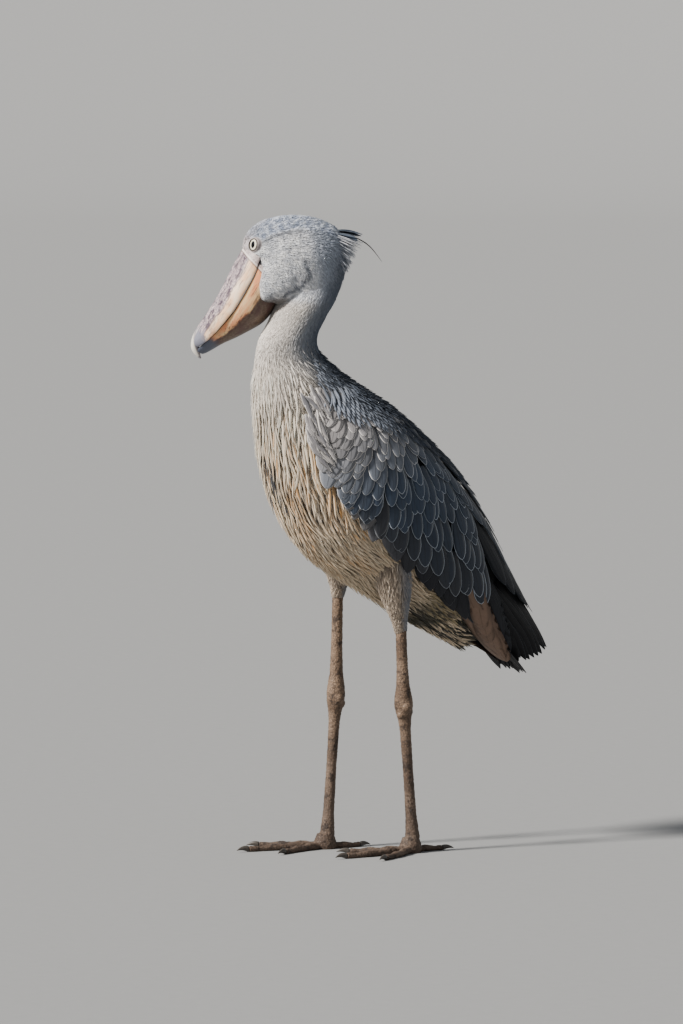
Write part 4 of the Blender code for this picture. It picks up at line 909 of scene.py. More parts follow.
def feather_mesh(name, centre, out, half_width, outline, tint, rim, spot, t=None, camber=0.25, thick=0.0005, patch=0.003, roll=0.0, columns=3, ragged=0.06):
    """Joins many feathers into one mesh. Each is a closed blade whose back is arched by camber, with
    its colour, its rim's colour, its places across and along, its distance in millimetres from the
    outline, and a patch of OFBake."""
    count, stops = centre.shape[:2]
    t = np.linspace(0, 1, stops) if t is None else t
    ahead = unit(np.gradient(centre, axis=1))
    across = unit(np.cross(ahead, out))
    out = np.cross(across, ahead)
    roll = np.broadcast_to(roll, count)[:, None, None]
    across, out = across * np.cos(roll) + out * np.sin(roll), out * np.cos(roll) - across * np.sin(roll)
    top = np.linspace(-1, 1, columns)
    under = top[-2:0:-1] if columns > 3 else top[:0]
    offset = np.concatenate([top, under])
    sunk = np.concatenate([np.zeros(columns), np.ones(len(under))])
    ring = len(offset)
    widest, root, power = OUTLINES[outline]
    rising = root + (1 - root) * np.sin(np.clip(t / widest, 0, 1) * math.pi / 2)
    falling = np.maximum(np.clip(1 - ((t - widest) / (1 - widest)) ** 2, 0, 1) ** power, 0.05)
    share = np.where(t < widest, rising, falling)
    wide = np.broadcast_to(half_width, count)[:, None] * share * (1 + draw.uniform(-ragged, ragged, (count, stops)))
    arch = -camber * offset ** 2
    points = (
        centre[:, :, None] + across[:, :, None] * (offset[None, None, :, None] * wide[..., None, None])
        + out[:, :, None] * (arch[None, None, :, None] * wide[..., None, None] - thick * sunk[None, None, :, None])
    )
    if not len(under):
        points[:, :, columns // 2] += out * thick
    length = np.linalg.norm(np.diff(centre, axis=1), axis=2).sum(1)[:, None, None]
    from_side = (1 - np.abs(offset))[None, None] * wide[..., None]
    from_edge = np.minimum(from_side, (1 - t)[None, :, None] * length * 0.8 + 0.3 * from_side) * 1000
    first = np.arange(count)[:, None] * (stops * ring)
    k, j = np.meshgrid(np.arange(stops - 1), np.arange(ring), indexing="ij")
    nxt = (j + 1) % ring
    quads = np.stack([k * ring + j, k * ring + nxt, (k + 1) * ring + nxt, (k + 1) * ring + j], -1).reshape(-1, 4)
    quads = (quads[None] + first[:, :, None]).reshape(-1, 4)
    root_cap = np.arange(ring)[::-1][None] + first
    tip_cap = np.arange(ring)[None] + (stops - 1) * ring + first
    corners = np.concatenate([quads.ravel(), root_cap.ravel(), tip_cap.ravel()])
    sizes = np.concatenate([np.full(len(quads), 4), np.full(2 * count, ring)])
    mesh = bpy.data.meshes.new(name)
    mesh.vertices.add(count * stops * ring)
    mesh.vertices.foreach_set("co", points.astype(np.float32).ravel())
    mesh.loops.add(len(corners))
    mesh.loops.foreach_set("vertex_index", corners.astype(np.int32))
    mesh.polygons.add(len(sizes))
    mesh.polygons.foreach_set("loop_start", np.concatenate([[0], np.cumsum(sizes)[:-1]]).astype(np.int32))
    mesh.polygons.foreach_set("loop_total", sizes.astype(np.int32))
    mesh.update(calc_edges=True)
    piece = bpy.data.objects.new(name, mesh)
    bpy.context.scene.collection.objects.link(piece)
    in_vane = np.empty((count, stops, ring, 2))
    in_vane[..., 0] = (offset / 2 + 0.5)[None, None]
    in_vane[..., 1] = t[None, :, None]
    for layer_name, places in (("vane", in_vane), ("OFBake", spot[:, None, None] + (in_vane - 0.5) * patch)):
        layer = mesh.uv_layers.new(name=layer_name)
        layer.data.foreach_set("uv", places.reshape(-1, 2)[corners].astype(np.float32).ravel())
    for layer_name, rows in (("tint", tint), ("rim", rim)):
        rows = np.asarray(rows, float)
        if rows.shape[1] == 3:
            rows = np.concatenate([rows, np.ones((count, 1))], 1)
        layer = mesh.color_attributes.new(name=layer_name, type="FLOAT_COLOR", domain="POINT")
        layer.data.foreach_set("color", np.repeat(rows, stops * ring, axis=0).astype(np.float32).ravel())
    layer = mesh.attributes.new("from_edge", "FLOAT", "POINT")
    layer.data.foreach_set("value", from_edge.astype(np.float32).ravel())
    mesh.shade_smooth()
    return piece


def feather_look(name, rim_from, rim_to, shaft_tone, barbs, root_shade=0.7, roughness=0.8, sheen=0.15):
    """Barbs slanting off a fine shaft, a rim of another tone as wide as rim_from to rim_to in
    millimetres, painted shade darkening each feather towards its root, and uneven wear from feather to feather."""
    made, tree, shader = new_material(name, roughness, 0.2)
    shader.inputs["Sheen Weight"].default_value = sheen
    shader.inputs["Sheen Roughness"].default_value = 0.6
    spot = node(tree, "ShaderNodeUVMap")
    spot.uv_map = "vane"
    parts = node(tree, "ShaderNodeSeparateXYZ", Vector=spot.outputs[0])
    across = maths(tree, "MULTIPLY", maths(tree, "ABSOLUTE", maths(tree, "SUBTRACT", parts.outputs[0], 0.5)), 2.0)
    along = parts.outputs[1]
    wear = noise(tree, node(tree, "ShaderNodeTexCoord").outputs["Object"], 130, 4)
    slant = maths(tree, "ADD", maths(tree, "MULTIPLY", along, barbs), maths(tree, "MULTIPLY", across, -barbs * 0.12))
    barb_line = maths(tree, "SINE", maths(tree, "MULTIPLY", maths(tree, "ADD", slant, maths(tree, "MULTIPLY", wear, 3.0)), 6.283))
    gap = maths(tree, "ADD", attribute(tree, "from_edge", "Fac"), maths(tree, "MULTIPLY", maths(tree, "SUBTRACT", wear, 0.5), rim_to * 0.8))
    edge = maths(tree, "MULTIPLY", maths(tree, "SUBTRACT", 1.0, ramp(tree, gap, rim_from, rim_to)), attribute(tree, "rim", "Alpha"))
    colour = mixed(tree, edge, attribute(tree, "tint"), attribute(tree, "rim"))
    shade = maths(tree, "ADD", 0.82, maths(tree, "ADD", maths(tree, "MULTIPLY", wear, 0.36), maths(tree, "MULTIPLY", barb_line, 0.05)))
    # Painted shade: each feather is darkened towards its root, where the feathers lying over it would shade it.
    shade = maths(tree, "MULTIPLY", shade, maths(tree, "ADD", root_shade, maths(tree, "MULTIPLY", ramp(tree, along, 0.1, 0.8), 1.06 - root_shade)))
    colour = mixed(tree, 1.0, colour, node(tree, "ShaderNodeCombineColor", _0=shade, _1=shade, _2=shade).outputs[0], "MULTIPLY")
    shaft = maths(tree, "SUBTRACT", 1.0, ramp(tree, across, 0.03, 0.10))
    tree.links.new(mixed(tree, shaft, colour, mixed(tree, 1.0, colour, (shaft_tone,) * 3, "MULTIPLY")), shader.inputs["Base Color"])
    bumped(tree, shader, maths(tree, "ADD", maths(tree, "MULTIPLY", barb_line, 0.35), maths(tree, "MULTIPLY", shaft, 1.5)), 0.35, 0.0006)
    return made


def dress(piece, look):
    piece.data.materials.append(look)
    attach(piece, "root")


def beside_bill(point):
    """True where a root would stand in the horn or against it."""
    for tree in bill_trees:
        near, way, _, gap = tree.find_nearest(Vector(point))
        if (Vector(point) - near).dot(way) < 0.0006:
            return True
    return False


HEAD_COUNT = 22200
i = np.arange(HEAD_COUNT)
fall = 1 - 2 * (i + 0.5) / HEAD_COUNT
ways = np.stack([np.sqrt(1 - fall ** 2) * np.cos(i * GOLDEN), fall, np.sqrt(1 - fall ** 2) * np.sin(i * GOLDEN)], -1)
middle = head_place(0.0, SKULL_FORWARD, SKULL_HEIGHT)
ways = ways[:, :1] * HEAD_AHEAD + ways[:, 1:2] * HEAD_LEFT + ways[:, 2:] * np.array((0, 0, 1.0))
roots = []
for way in ways:
    hit = skin_tree.ray_cast(Vector(middle + way * 0.14), Vector(-way))[0]
    roots.append(hit if hit else middle)
roots = np.array(roots)
left, ahead, up = head_local(roots)
keep = (up > -0.112) & (np.linalg.norm(roots - middle, axis=1) > 0.03) & (np.linalg.norm(roots - middle, axis=1) < 0.125)
keep &= np.array([not beside_bill(root) for root in roots])
bare_top = 0.051 - 0.021 * (1 - blend_in(0.010, 0.028, np.abs(left)))
keep &= (ahead - 0.25 * np.abs(left) + 0.45 * (up - 0.03) < 0.0765) | (up < -0.02) | (up > bare_top + draw.normal(0, 0.0025, len(up)))
for side in (1, -1):
    centre, outward, upward, sideways = eye_seat(side)
    away = roots - centre
    reach = np.hypot(away @ sideways / 1.10, away @ upward)
    keep &= (reach > 0.0134) | (away @ outward < 0) | (away @ outward > 0.03)
roots, left, ahead, up = roots[keep], left[keep], ahead[keep], up[keep]
back = blend_in(-0.09, 0.05, -ahead)
fluff = blend_in(0.03, 0.09, -ahead) * blend_in(-0.06, 0.0, up)
lies = -HEAD_AHEAD + np.array((0, 0, -1.0)) * (0.15 + 1.5 * back * blend_in(-0.02, 0.06, 0.04 - up))[:, None]
lies += draw.normal(0, 0.12, lies.shape) + 0.22 * np.stack([mottle(roots, 40, seed) for seed in (11, 12, 13)], -1) * blend_in(-0.05, 0.03, -ahead)[:, None]
size = 0.42 + 0.50 * blend_in(-0.085, 0.0, -ahead) + 0.35 * fluff
lengths = 0.0128 * size * draw.uniform(0.8, 1.2, len(roots))
centre, out = comb(roots, lies, lengths, 3, -0.0004, (0.0024 + 0.0022 * fluff) * size * draw.uniform(0.5, 1.5, len(roots)))
colours = np.minimum(plumage_colour(roots) * draw.uniform(0.76, 1.17, len(roots))[:, None], 0.88)
spots = np.stack([0.02 + 0.46 * (0.5 + 0.5 * ahead / 0.125), 0.5 + 0.47 * up / 0.125], -1)
head_look = feather_look("head_feathers", 0.1, 0.9, 0.8, 14, 0.70)
for side, name in ((1, "left"), (-1, "right")):
    own = left * side >= 0
    piece = feather_mesh(
        "head_coat_" + name, centre[own], out[own], 0.00150 * (0.55 + 0.45 * size[own]), "tuft", colours[own],
        np.minimum(colours[own] * 1.22, 0.85), spots[own], roll=draw.normal(0, 0.18, own.sum()),
    )
    dress(piece, head_look)


# The small feathers of the neck: a little longer down its length, grey at the sides, pale and warm
# at the throat and slate behind, growing into the plumes of the breast and mantle.
def strewn(rows, first, last, count, low_turn, high_turn, density=None):
    """Evenly strewn stations and angles between two stations and two angles, which may change on the way."""
    s = np.linspace(first, last, 400)
    ring = on_section(rows, s[:, None], np.linspace(0, 2 * math.pi, 36, endpoint=False)[None])
    girth = np.linalg.norm(np.roll(ring, 1, 1) - ring, axis=2).sum(1)
    pace = np.linalg.norm(np.gradient(ring.mean(1), s, axis=0), axis=1)
    level = np.cumsum(girth * pace * (1 if density is None else density(s)))
    places = np.interp((np.arange(count) + 0.5) / count * level[-1], level, s)
    turn = (np.arange(count) * GOLDEN + math.pi) % (2 * math.pi) - math.pi + draw.normal(0, 0.01, count)
    degrees = np.degrees(np.abs(turn)) + draw.normal(0, 3, count)
    inside = (degrees >= low_turn(places)) & (degrees <= high_turn(places))
    return places[inside], turn[inside]


def stepped(stops, values):
    """A value for each station, straight between those given."""
    return lambda s: np.interp(s, stops, values)


def body_spots(s, turn):
    return np.stack([0.02 + 0.96 * (turn / (2 * math.pi) + 0.5), 0.02 + 0.96 * np.clip(s / 17, 0, 1)], -1)


SHORT, LONG = np.linspace(0, 1, 4), np.linspace(0, 1, 7)
everywhere = stepped([0], [0]), stepped([0], [181])
s, turn = strewn(BODY, 0.25, 6.0, 17000, *everywhere, density=stepped([0, 3.2, 4.6, 6.0], [1.6, 1.3, 0.60, 0.10]))
lengths = (0.0150 + 0.0052 * s) * draw.uniform(0.75, 1.25, len(s))
lie = draw.normal(0, 6, len(s)) + 9 * mottle(on_section(BODY, s, turn), 22, 21)
points, out, base_s, base_turn = over_surface(BODY, s, turn, lie, lengths, -NECK_DEPTH - 0.0006, draw.uniform(-0.0034, -0.0012, len(s)), SHORT)
colours = plumage_colour(points[:, 1])
streak = blend_in(0.2, 1.0, mottle(points[:, 1], 70, 22)) * blend_in(40, 80, np.degrees(np.abs(turn)))
colours = np.minimum(toned(streak * 0.35, colours, colours * 0.55) * draw.uniform(0.86, 1.16, len(s))[:, None], 0.88)
neck_look = feather_look("neck_feathers", 0.1, 0.8, 0.85, 16, 0.80)
for side, name in ((1, "left"), (-1, "right")):
    own = turn * side >= 0
    dress(feather_mesh(
        "neck_coat_" + name, points[own], out[own], (0.0010 + 0.00016 * s[own]) * draw.uniform(0.8, 1.2, own.sum()), "tuft", colours[own],
        np.minimum(colours[own] * 1.25, 0.88), body_spots(base_s, base_turn)[own], roll=draw.normal(0, 0.12, own.sum()),
    ), neck_look)


# The crest: a short tuft of narrow blue black feathers at the back of the crown with one long thin
# drooping filament, over a ruff of loose pale feathers. Each is rooted in the skin and bends down.
def bent(start, end, droop, stops=9):
    """A line from start to end in the head's side, ahead and up, which sags away from straight."""
    t = np.linspace(0, 1, stops)[:, None]
    line = np.array(start) * (1 - t) + np.array(end) * t + np.array((0, 0, droop)) * 4 * t * (1 - t)
    return head_place(line[:, 0], SKULL_FORWARD + line[:, 1], SKULL_HEIGHT + line[:, 2])


lines = []
for k in range(26):
    side, low = draw.normal(0, 0.006), draw.uniform(0, 1)
    root = (side * 0.7, -0.068 + draw.normal(0, 0.003), 0.0590 - 0.011 * low)
    lines.append(bent(root, (side * 2.2, -0.1175 + 0.012 * low + draw.normal(0, 0.003), 0.0525 - 0.014 * low), 0.0025))
crest = feather_mesh(
    "crest_feathers", np.array(lines), np.broadcast_to(np.array((0, 0, 1.0)), (26, 9, 3)), draw.uniform(0.0024, 0.0040, 26), "lance",
    toned(draw.uniform(0, 1, 26), srgb(24, 34, 48), srgb(62, 76, 94)), np.broadcast_to(srgb(96, 106, 120), (26, 3)),
    0.1 + 0.8 * draw.uniform(0, 1, (26, 2)), thick=0.0006, patch=0.02, roll=draw.normal(0, 0.7, 26), columns=5, ragged=0.1,
)
crest_look = feather_look("crest_blades", 0.0, 0.35, 0.7, 40, 0.8, 0.5)
dress(crest, crest_look)

hair_path = smooth_at([(0.0, -0.080, 0.0560), (0.002, -0.1088, 0.0450), (0.003, -0.1319, 0.0300), (0.004, -0.1533, 0.0030)], np.linspace(0, 3, 15))
hair = feather_mesh(
    "crest_filament", head_place(hair_path[:, 0], SKULL_FORWARD + hair_path[:, 1], SKULL_HEIGHT + hair_path[:, 2])[None],
    np.broadcast_to(np.array((0, 0, 1.0)), (1, 15, 3)), np.array([0.0011]), "lance", srgb(24, 22, 25)[None], srgb(40, 36, 38)[None],
    np.array([[0.5, 0.03]]), thick=0.0009, patch=0.02, roll=1.3, columns=5,
)
dress(hair, crest_look)

lines, outs = [], []
for k in range(420):
    low = draw.uniform(0, 1)
    side = np.clip(draw.normal(0, 0.011), -0.022, 0.022)
    root = (side, -0.066 - 0.012 * low + 0.35 * abs(side), 0.054 - 0.050 * low)
    reach = draw.uniform(0.030, 0.056) * (1.08 - 0.64 * low)
    end = (side * 1.30 + draw.normal(0, 0.003), root[1] - reach * (0.93 - 0.34 * low), root[2] - reach * (0.26 + 0.66 * low))
    lines.append(bent(root, end, 0.0015))
    outs.append(unit(head_place(*(np.array(root) * (1, 1, 1) + (0, SKULL_FORWARD, SKULL_HEIGHT))) - middle))
tone = toned(draw.uniform(0, 1, 420), srgb(110, 118, 131), srgb(204, 206, 212))
ruff = feather_mesh(
    "nape_ruff", np.array(lines), np.repeat(np.array(outs)[:, None], 9, 1), draw.uniform(0.0007, 0.0014, 420), "lance", tone,
    np.minimum(tone * 1.3, 0.85), 0.1 + 0.8 * draw.uniform(0, 1, (420, 2)), patch=0.003, roll=draw.normal(0, 0.4, 420), ragged=0.15,
)
dress(ruff, head_look)


# The breast and belly: long narrow pointed plumes hanging over one another, with dark or rusty
# middles and cream edges, shorter and fluffier over the buff belly, and some hanging free in front.
def plume_coat(name, first, last, count, low_turn, length, width, stand, lie, look, density=None, own_tint=None):
    s, turn = strewn(BODY, first, last, count, low_turn, stepped([0], [181]), density)
    degrees = np.degrees(np.abs(turn))
    places = on_section(BODY, np.minimum(s, 15), turn)
    lies = lie(s, degrees) + draw.normal(0, 5, len(s)) + 13 * mottle(places, 11, 31)
    lengths = length(s) * draw.uniform(0.72, 1.2, len(s))
    free = blend_in(0, 26, degrees - low_turn(s))
    low = -BREAST_DEPTH + 0.0005
    points, out, base_s, base_turn = over_surface(
        BODY, s, turn, lies, lengths, low, -0.0050 + (stand(s) + 0.0050) * free + draw.uniform(-0.0034, 0.0012, len(s)), LONG, draw.normal(0, 16, len(s)),
    )
    inner, outer = own_tint(s, degrees, places)
    return dress(feather_mesh(
        name, points, out, width(s) / 2 * draw.uniform(0.75, 1.25, len(s)), "lance", inner, outer, body_spots(base_s, base_turn),
        camber=0.16, thick=0.0005, roll=draw.normal(0, 0.12, len(s)), ragged=0.14,
    ), look)


def plume_tints(s, degrees, places):
    """Middle and rim colours of the plumes, plume by plume, and how strong each rim is."""
    count = len(s)
    inner = between(s, [3.4, 5.0, 6.5, 8.5, 10.5], [srgb(186, 182, 179), srgb(198, 190, 183), srgb(198, 183, 166), srgb(194, 174, 146), srgb(184, 164, 138)])
    outer = between(s, [3.4, 5.0, 6.5, 8.5, 10.5], [srgb(206, 200, 195), srgb(244, 237, 226), srgb(248, 238, 222), srgb(240, 224, 200), srgb(226, 208, 180)])
    rusty = blend_in(-0.7, 0.4, mottle(places, 12, 35)) * blend_in(6.0, 7.6, s) * (1 - blend_in(10, 11.5, s)) * draw.uniform(0.3, 1, count)
    inner = toned(rusty, inner, srgb(182, 138, 86))
    dark = (draw.uniform(0, 1, count) < 0.20) * draw.uniform(0.1, 0.7, count)
    inner = toned(dark, inner, srgb(92, 88, 88))
    side = 1 - blend_in(70, 112, degrees)
    inner = toned(side * 0.8, inner, srgb(84, 88, 96))
    outer = toned(side * 0.8, outer, srgb(150, 152, 156))
    loose = (degrees > 166) & (s > 7.2) & (s < 8.5) & (draw.uniform(0, 1, count) < 0.25)
    inner[loose], outer[loose] = srgb(46, 48, 54), srgb(80, 80, 84)
    rump = blend_in(11.9, 12.7, s) * blend_in(-0.5, -0.1, -mottle(places, 9, 33))
    inner = toned(rump, inner, srgb(50, 48, 38))
    outer = toned(rump, outer, srgb(78, 74, 58))
    tone = draw.uniform(0.82, 1.16, count)[:, None] * (1 + 0.10 * mottle(places, 18, 32))[:, None]
    strength = draw.uniform(0.55, 1.0, count)[:, None]
    return inner * tone, np.concatenate([np.minimum(outer * (0.6 + 0.4 * tone), 0.88), strength], 1)


def down_tints(s, degrees, places):
    """Soft even colours of the short down between the plumes."""
    tone = trunk_tone(s, np.radians(degrees)) * draw.uniform(0.96, 1.34, len(s))[:, None]
    return np.minimum(tone, 0.88), np.concatenate([np.minimum(tone * 1.3, 0.88), draw.uniform(0.3, 1, len(s))[:, None]], 1)


breast_look = feather_look("breast_feathers", 0.3, 1.7, 0.75, 30, 0.86)
belly_look = feather_look("belly_feathers", 0.3, 2.2, 0.85, 24, 0.80)
UNDER_WING = stepped([3.3, 4.6, 5.2, 5.7, 6.1, 6.6, 7.1, 8.3, 9.4, 10.6, 12.0, 14.0], [28, 50, 72, 98, 112, 120, 125, 119, 113, 106, 100, 96])
plume_coat(
    "breast_down", 3.6, 10.2, 4200, UNDER_WING, stepped([3.6, 6, 10.2], [0.026, 0.038, 0.036]),
    stepped([3.6, 6, 10.2], [0.0036, 0.0056, 0.0060]), stepped([3.6, 5, 10.2], [-0.0034, -0.0030, -0.0024]),
    lambda s, degrees: 6 * blend_in(60, 110, degrees), belly_look, stepped([3.6, 10.2], [1, 1]), down_tints,
)
plume_coat(
    "breast_plumes", 3.4, 9.9, 2300, UNDER_WING, stepped([3.4, 4.6, 6, 9.9], [0.030, 0.056, 0.092, 0.074]),
    stepped([3.4, 4.6, 6, 9.9], [0.0022, 0.0032, 0.0054, 0.0064]), stepped([3.4, 5, 8, 9.9], [-0.0014, 0.0008, 0.0060, 0.0070]),
    lambda s, degrees: 10 * blend_in(60, 110, degrees) * blend_in(4.5, 6.5, s) * (1 - blend_in(120, 170, degrees)), breast_look,
    stepped([3.4, 4.5, 6.0, 9.9], [1.6, 1.6, 1.0, 1.0]), plume_tints,
)
plume_coat(
    "belly_plumes", 9.2, 15.2, 3700, UNDER_WING, stepped([9, 12, 15], [0.060, 0.052, 0.046]),
    stepped([9, 12, 15], [0.0072, 0.0070, 0.0074]), stepped([9, 12, 15], [0.0070, 0.0040, 0.0020]),
    lambda s, degrees: -8 * blend_in(9, 11, s) + 0 * degrees, belly_look, stepped([9, 15], [1, 1]), plume_tints,
)


# Long loose plumes from the sides of the breast that fall over the front edge of each folded wing.
s, turn = strewn(WING, 0.2, 2.3, 900, stepped([0.2, 1.2, 2.3], [92, 106, 120]), stepped([0.2, 1.0, 2.3], [110, 121, 130]))
thinned = draw.uniform(0, 1, len(s)) < 0.55
s, turn = s[thinned], turn[thinned]
points, out, base_s, base_turn = over_surface(
    WING, s, turn, draw.normal(0, 7, len(s)), draw.uniform(0.035, 0.062, len(s)), 0.0004, draw.uniform(0.0022, 0.0044, len(s)), LONG, draw.normal(0, 16, len(s)),
)
tone = toned(draw.uniform(0, 1, len(s)), srgb(94, 94, 100), srgb(158, 153, 151))
dress(feather_mesh(
    "wing_edge_plumes", points, out, draw.uniform(0.0030, 0.0060, len(s)), "lance", tone, np.broadcast_to(srgb(240, 235, 229), (len(s), 3)),
    np.stack([0.02 + 0.96 * (base_turn / 6.3 + 0.5), 0.02 + 0.96 * np.clip(base_s / 6 + 0.1, 0, 1)], -1), thick=0.0005,
    roll=draw.normal(0, 0.12, len(s)), ragged=0.14,
), breast_look)


# The mantle: narrow pointed blue grey feathers with fine paler edges, dense from the root of the neck
# over the shoulders, lying tailwards over the roots of the wing feathers.
def mantle_tints(degrees, count, dark_below, dark_above):
    share = blend_in(dark_below, dark_above, degrees)
    tone = toned(share, srgb(25, 37, 53), srgb(112, 120, 134)) * draw.uniform(0.72, 1.2, count)[:, None]
    return tone, np.concatenate([np.minimum(toned(share, srgb(70, 84, 100), srgb(168, 172, 178)) * 1.0, 0.8), draw.uniform(0.3, 0.9, count)[:, None]], 1)


mantle_look = feather_look("mantle_blades", 0.0, 0.55, 0.65, 30, 0.55, 0.72)
s, turn = strewn(BODY, 4.0, 6.9, 2900, stepped([0], [0]), stepped([4.0, 5.0, 6.0, 6.9], [60, 84, 98, 96]))
points, out, base_s, base_turn = over_surface(
    BODY, s, turn, draw.normal(6, 7, len(s)), np.interp(s, [4.0, 5.4, 6.9], [0.026, 0.040, 0.046]) * draw.uniform(0.8, 1.2, len(s)),
    -BREAST_DEPTH - 0.001, draw.uniform(-0.001, 0.0022, len(s)), LONG, draw.normal(0, 8, len(s)),
)
tone, edge = mantle_tints(np.degrees(np.abs(turn)), len(s), 38, 88)
dress(feather_mesh(
    "mantle_feathers", points, out, np.interp(s, [4.0, 5.4, 6.9], [0.0019, 0.0028, 0.0034]) * draw.uniform(0.8, 1.2, len(s)), "lance",
    tone, edge, body_spots(base_s, base_turn), thick=0.0006, roll=draw.normal(0, 0.15, len(s)),
), mantle_look)
s, turn = strewn(WING, 0.25, 5.2, 3800, stepped([0], [3]), stepped([0.25, 1.2, 2.2, 3.4, 5.2], [104, 90, 66, 42, 22]))
points, out, base_s, base_turn = over_surface(
    WING, s, turn, 24 * blend_in(20, 60, np.degrees(np.abs(turn))) + draw.normal(4, 6, len(s)), np.interp(s, [0.25, 3, 5.2], [0.036, 0.046, 0.052]) * draw.uniform(0.8, 1.2, len(s)),
    -0.0040, draw.uniform(0.0022, 0.0050, len(s)), LONG, draw.normal(0, 8, len(s)),
)
tone, edge = mantle_tints(np.degrees(np.abs(turn)), len(s), 34, 84)
dress(feather_mesh(
    "shoulder_feathers", points, out, np.interp(s, [0.25, 3, 5.2], [0.0034, 0.0042, 0.0052]) * draw.uniform(0.8, 1.2, len(s)), "lance",
    tone, edge, np.stack([0.02 + 0.96 * (base_turn / 6.3 + 0.5), 0.02 + 0.96 * np.clip(base_s / 6 + 0.1, 0, 1)], -1),
    thick=0.0006, roll=draw.normal(0, 0.12, len(s)),
), mantle_look)


# The folded wings: broad vanes in rows, each hanging over the next, with fine shafts and thin pale
# edges. Many rows of coverts lie over the secondaries, the long dark tertials and the black primaries.
# Rows of coverts from the wrist down to the lowest: where their tips lie (station, degrees from the
# back) at five places from the wing's front edge to its back.
COVERT_ROWS = [
    [(0.30, 112), (0.9, 96), (1.6, 76), (2.4, 54), (3.2, 36)],
    [(0.75, 119), (1.5, 101), (2.1, 84), (2.9, 64), (4.0, 46)],
    [(1.25, 128), (2.0, 109), (2.7, 91), (3.5, 73), (4.8, 53)],
    [(1.75, 131), (2.6, 113), (3.5, 96), (4.4, 80), (5.7, 60)],
    [(2.30, 132), (3.2, 120), (4.2, 105), (5.2, 90), (6.4, 74)],
    [(2.95, 131), (4.1, 126), (5.3, 122), (6.7, 117), (7.7, 102)],
]
# Other tiers: how many, tip rows, lies at first and last, lengths, width, heights of root and tip, roll.
TIERS = {
    "primary": (9, [(10.5, 131), (11.1, 100), (11.3, 52)], (8, 0), (0.20, 0.21), 0.026, (-0.0125, 0.0005), 0.0026),
    "secondary": (20, [(3.3, 132), (4.8, 132), (6.6, 131), (8.3, 134), (10.3, 139)], (48, 18), (0.085, 0.20), 0.034, (-0.0120, -0.0015), 0.0022),
    "tertial": (8, [(7.6, 68), (8.6, 46), (9.3, 27), (9.4, 8)], (10, 0), (0.160, 0.165), 0.034, (-0.0080, 0.0045), 0.0010),
    "brown": (10, [(8.3, 126), (9.2, 138), (10.0, 149), (10.4, 158)], (22, 15), (0.190, 0.230), 0.034, (-0.0105, 0.0014), 0.0024),
    "scapular_low": (16, [(2.9, 60), (4.2, 54), (5.6, 48), (7.9, 40)], (26, 6), (0.060, 0.115), 0.022, (-0.0050, 0.0024), 0.0008),
    "scapular": (16, [(2.2, 46), (3.6, 38), (5.0, 32), (7.0, 24)], (22, 4), (0.056, 0.105), 0.021, (-0.0045, 0.0032), 0.0008),
    "back_row": (14, [(2.2, 26), (3.8, 18), (5.4, 12), (7.4, 6)], (12, 0), (0.056, 0.100), 0.023, (-0.0040, 0.0040), 0.0008),
}
VANE = 1 - (1 - np.linspace(0, 1, 13)) ** 1.5


def wing_tone(s, degrees):
    """Pale and warm at the front, slate in the middle, dark to the back and the wing's end."""
    tone = between(s, [1.2, 2.6, 3.6, 5.0, 7.0], [srgb(148, 144, 144), srgb(104, 108, 116), srgb(48, 61, 79), srgb(38, 50, 66), srgb(29, 36, 47)])
    lower = blend_in(112, 126, degrees) * blend_in(3.2, 4.4, s)
    tone = toned(lower * 0.8, tone, srgb(40, 40, 44))
    return toned(1 - blend_in(34, 66, degrees), tone, srgb(28, 37, 50))


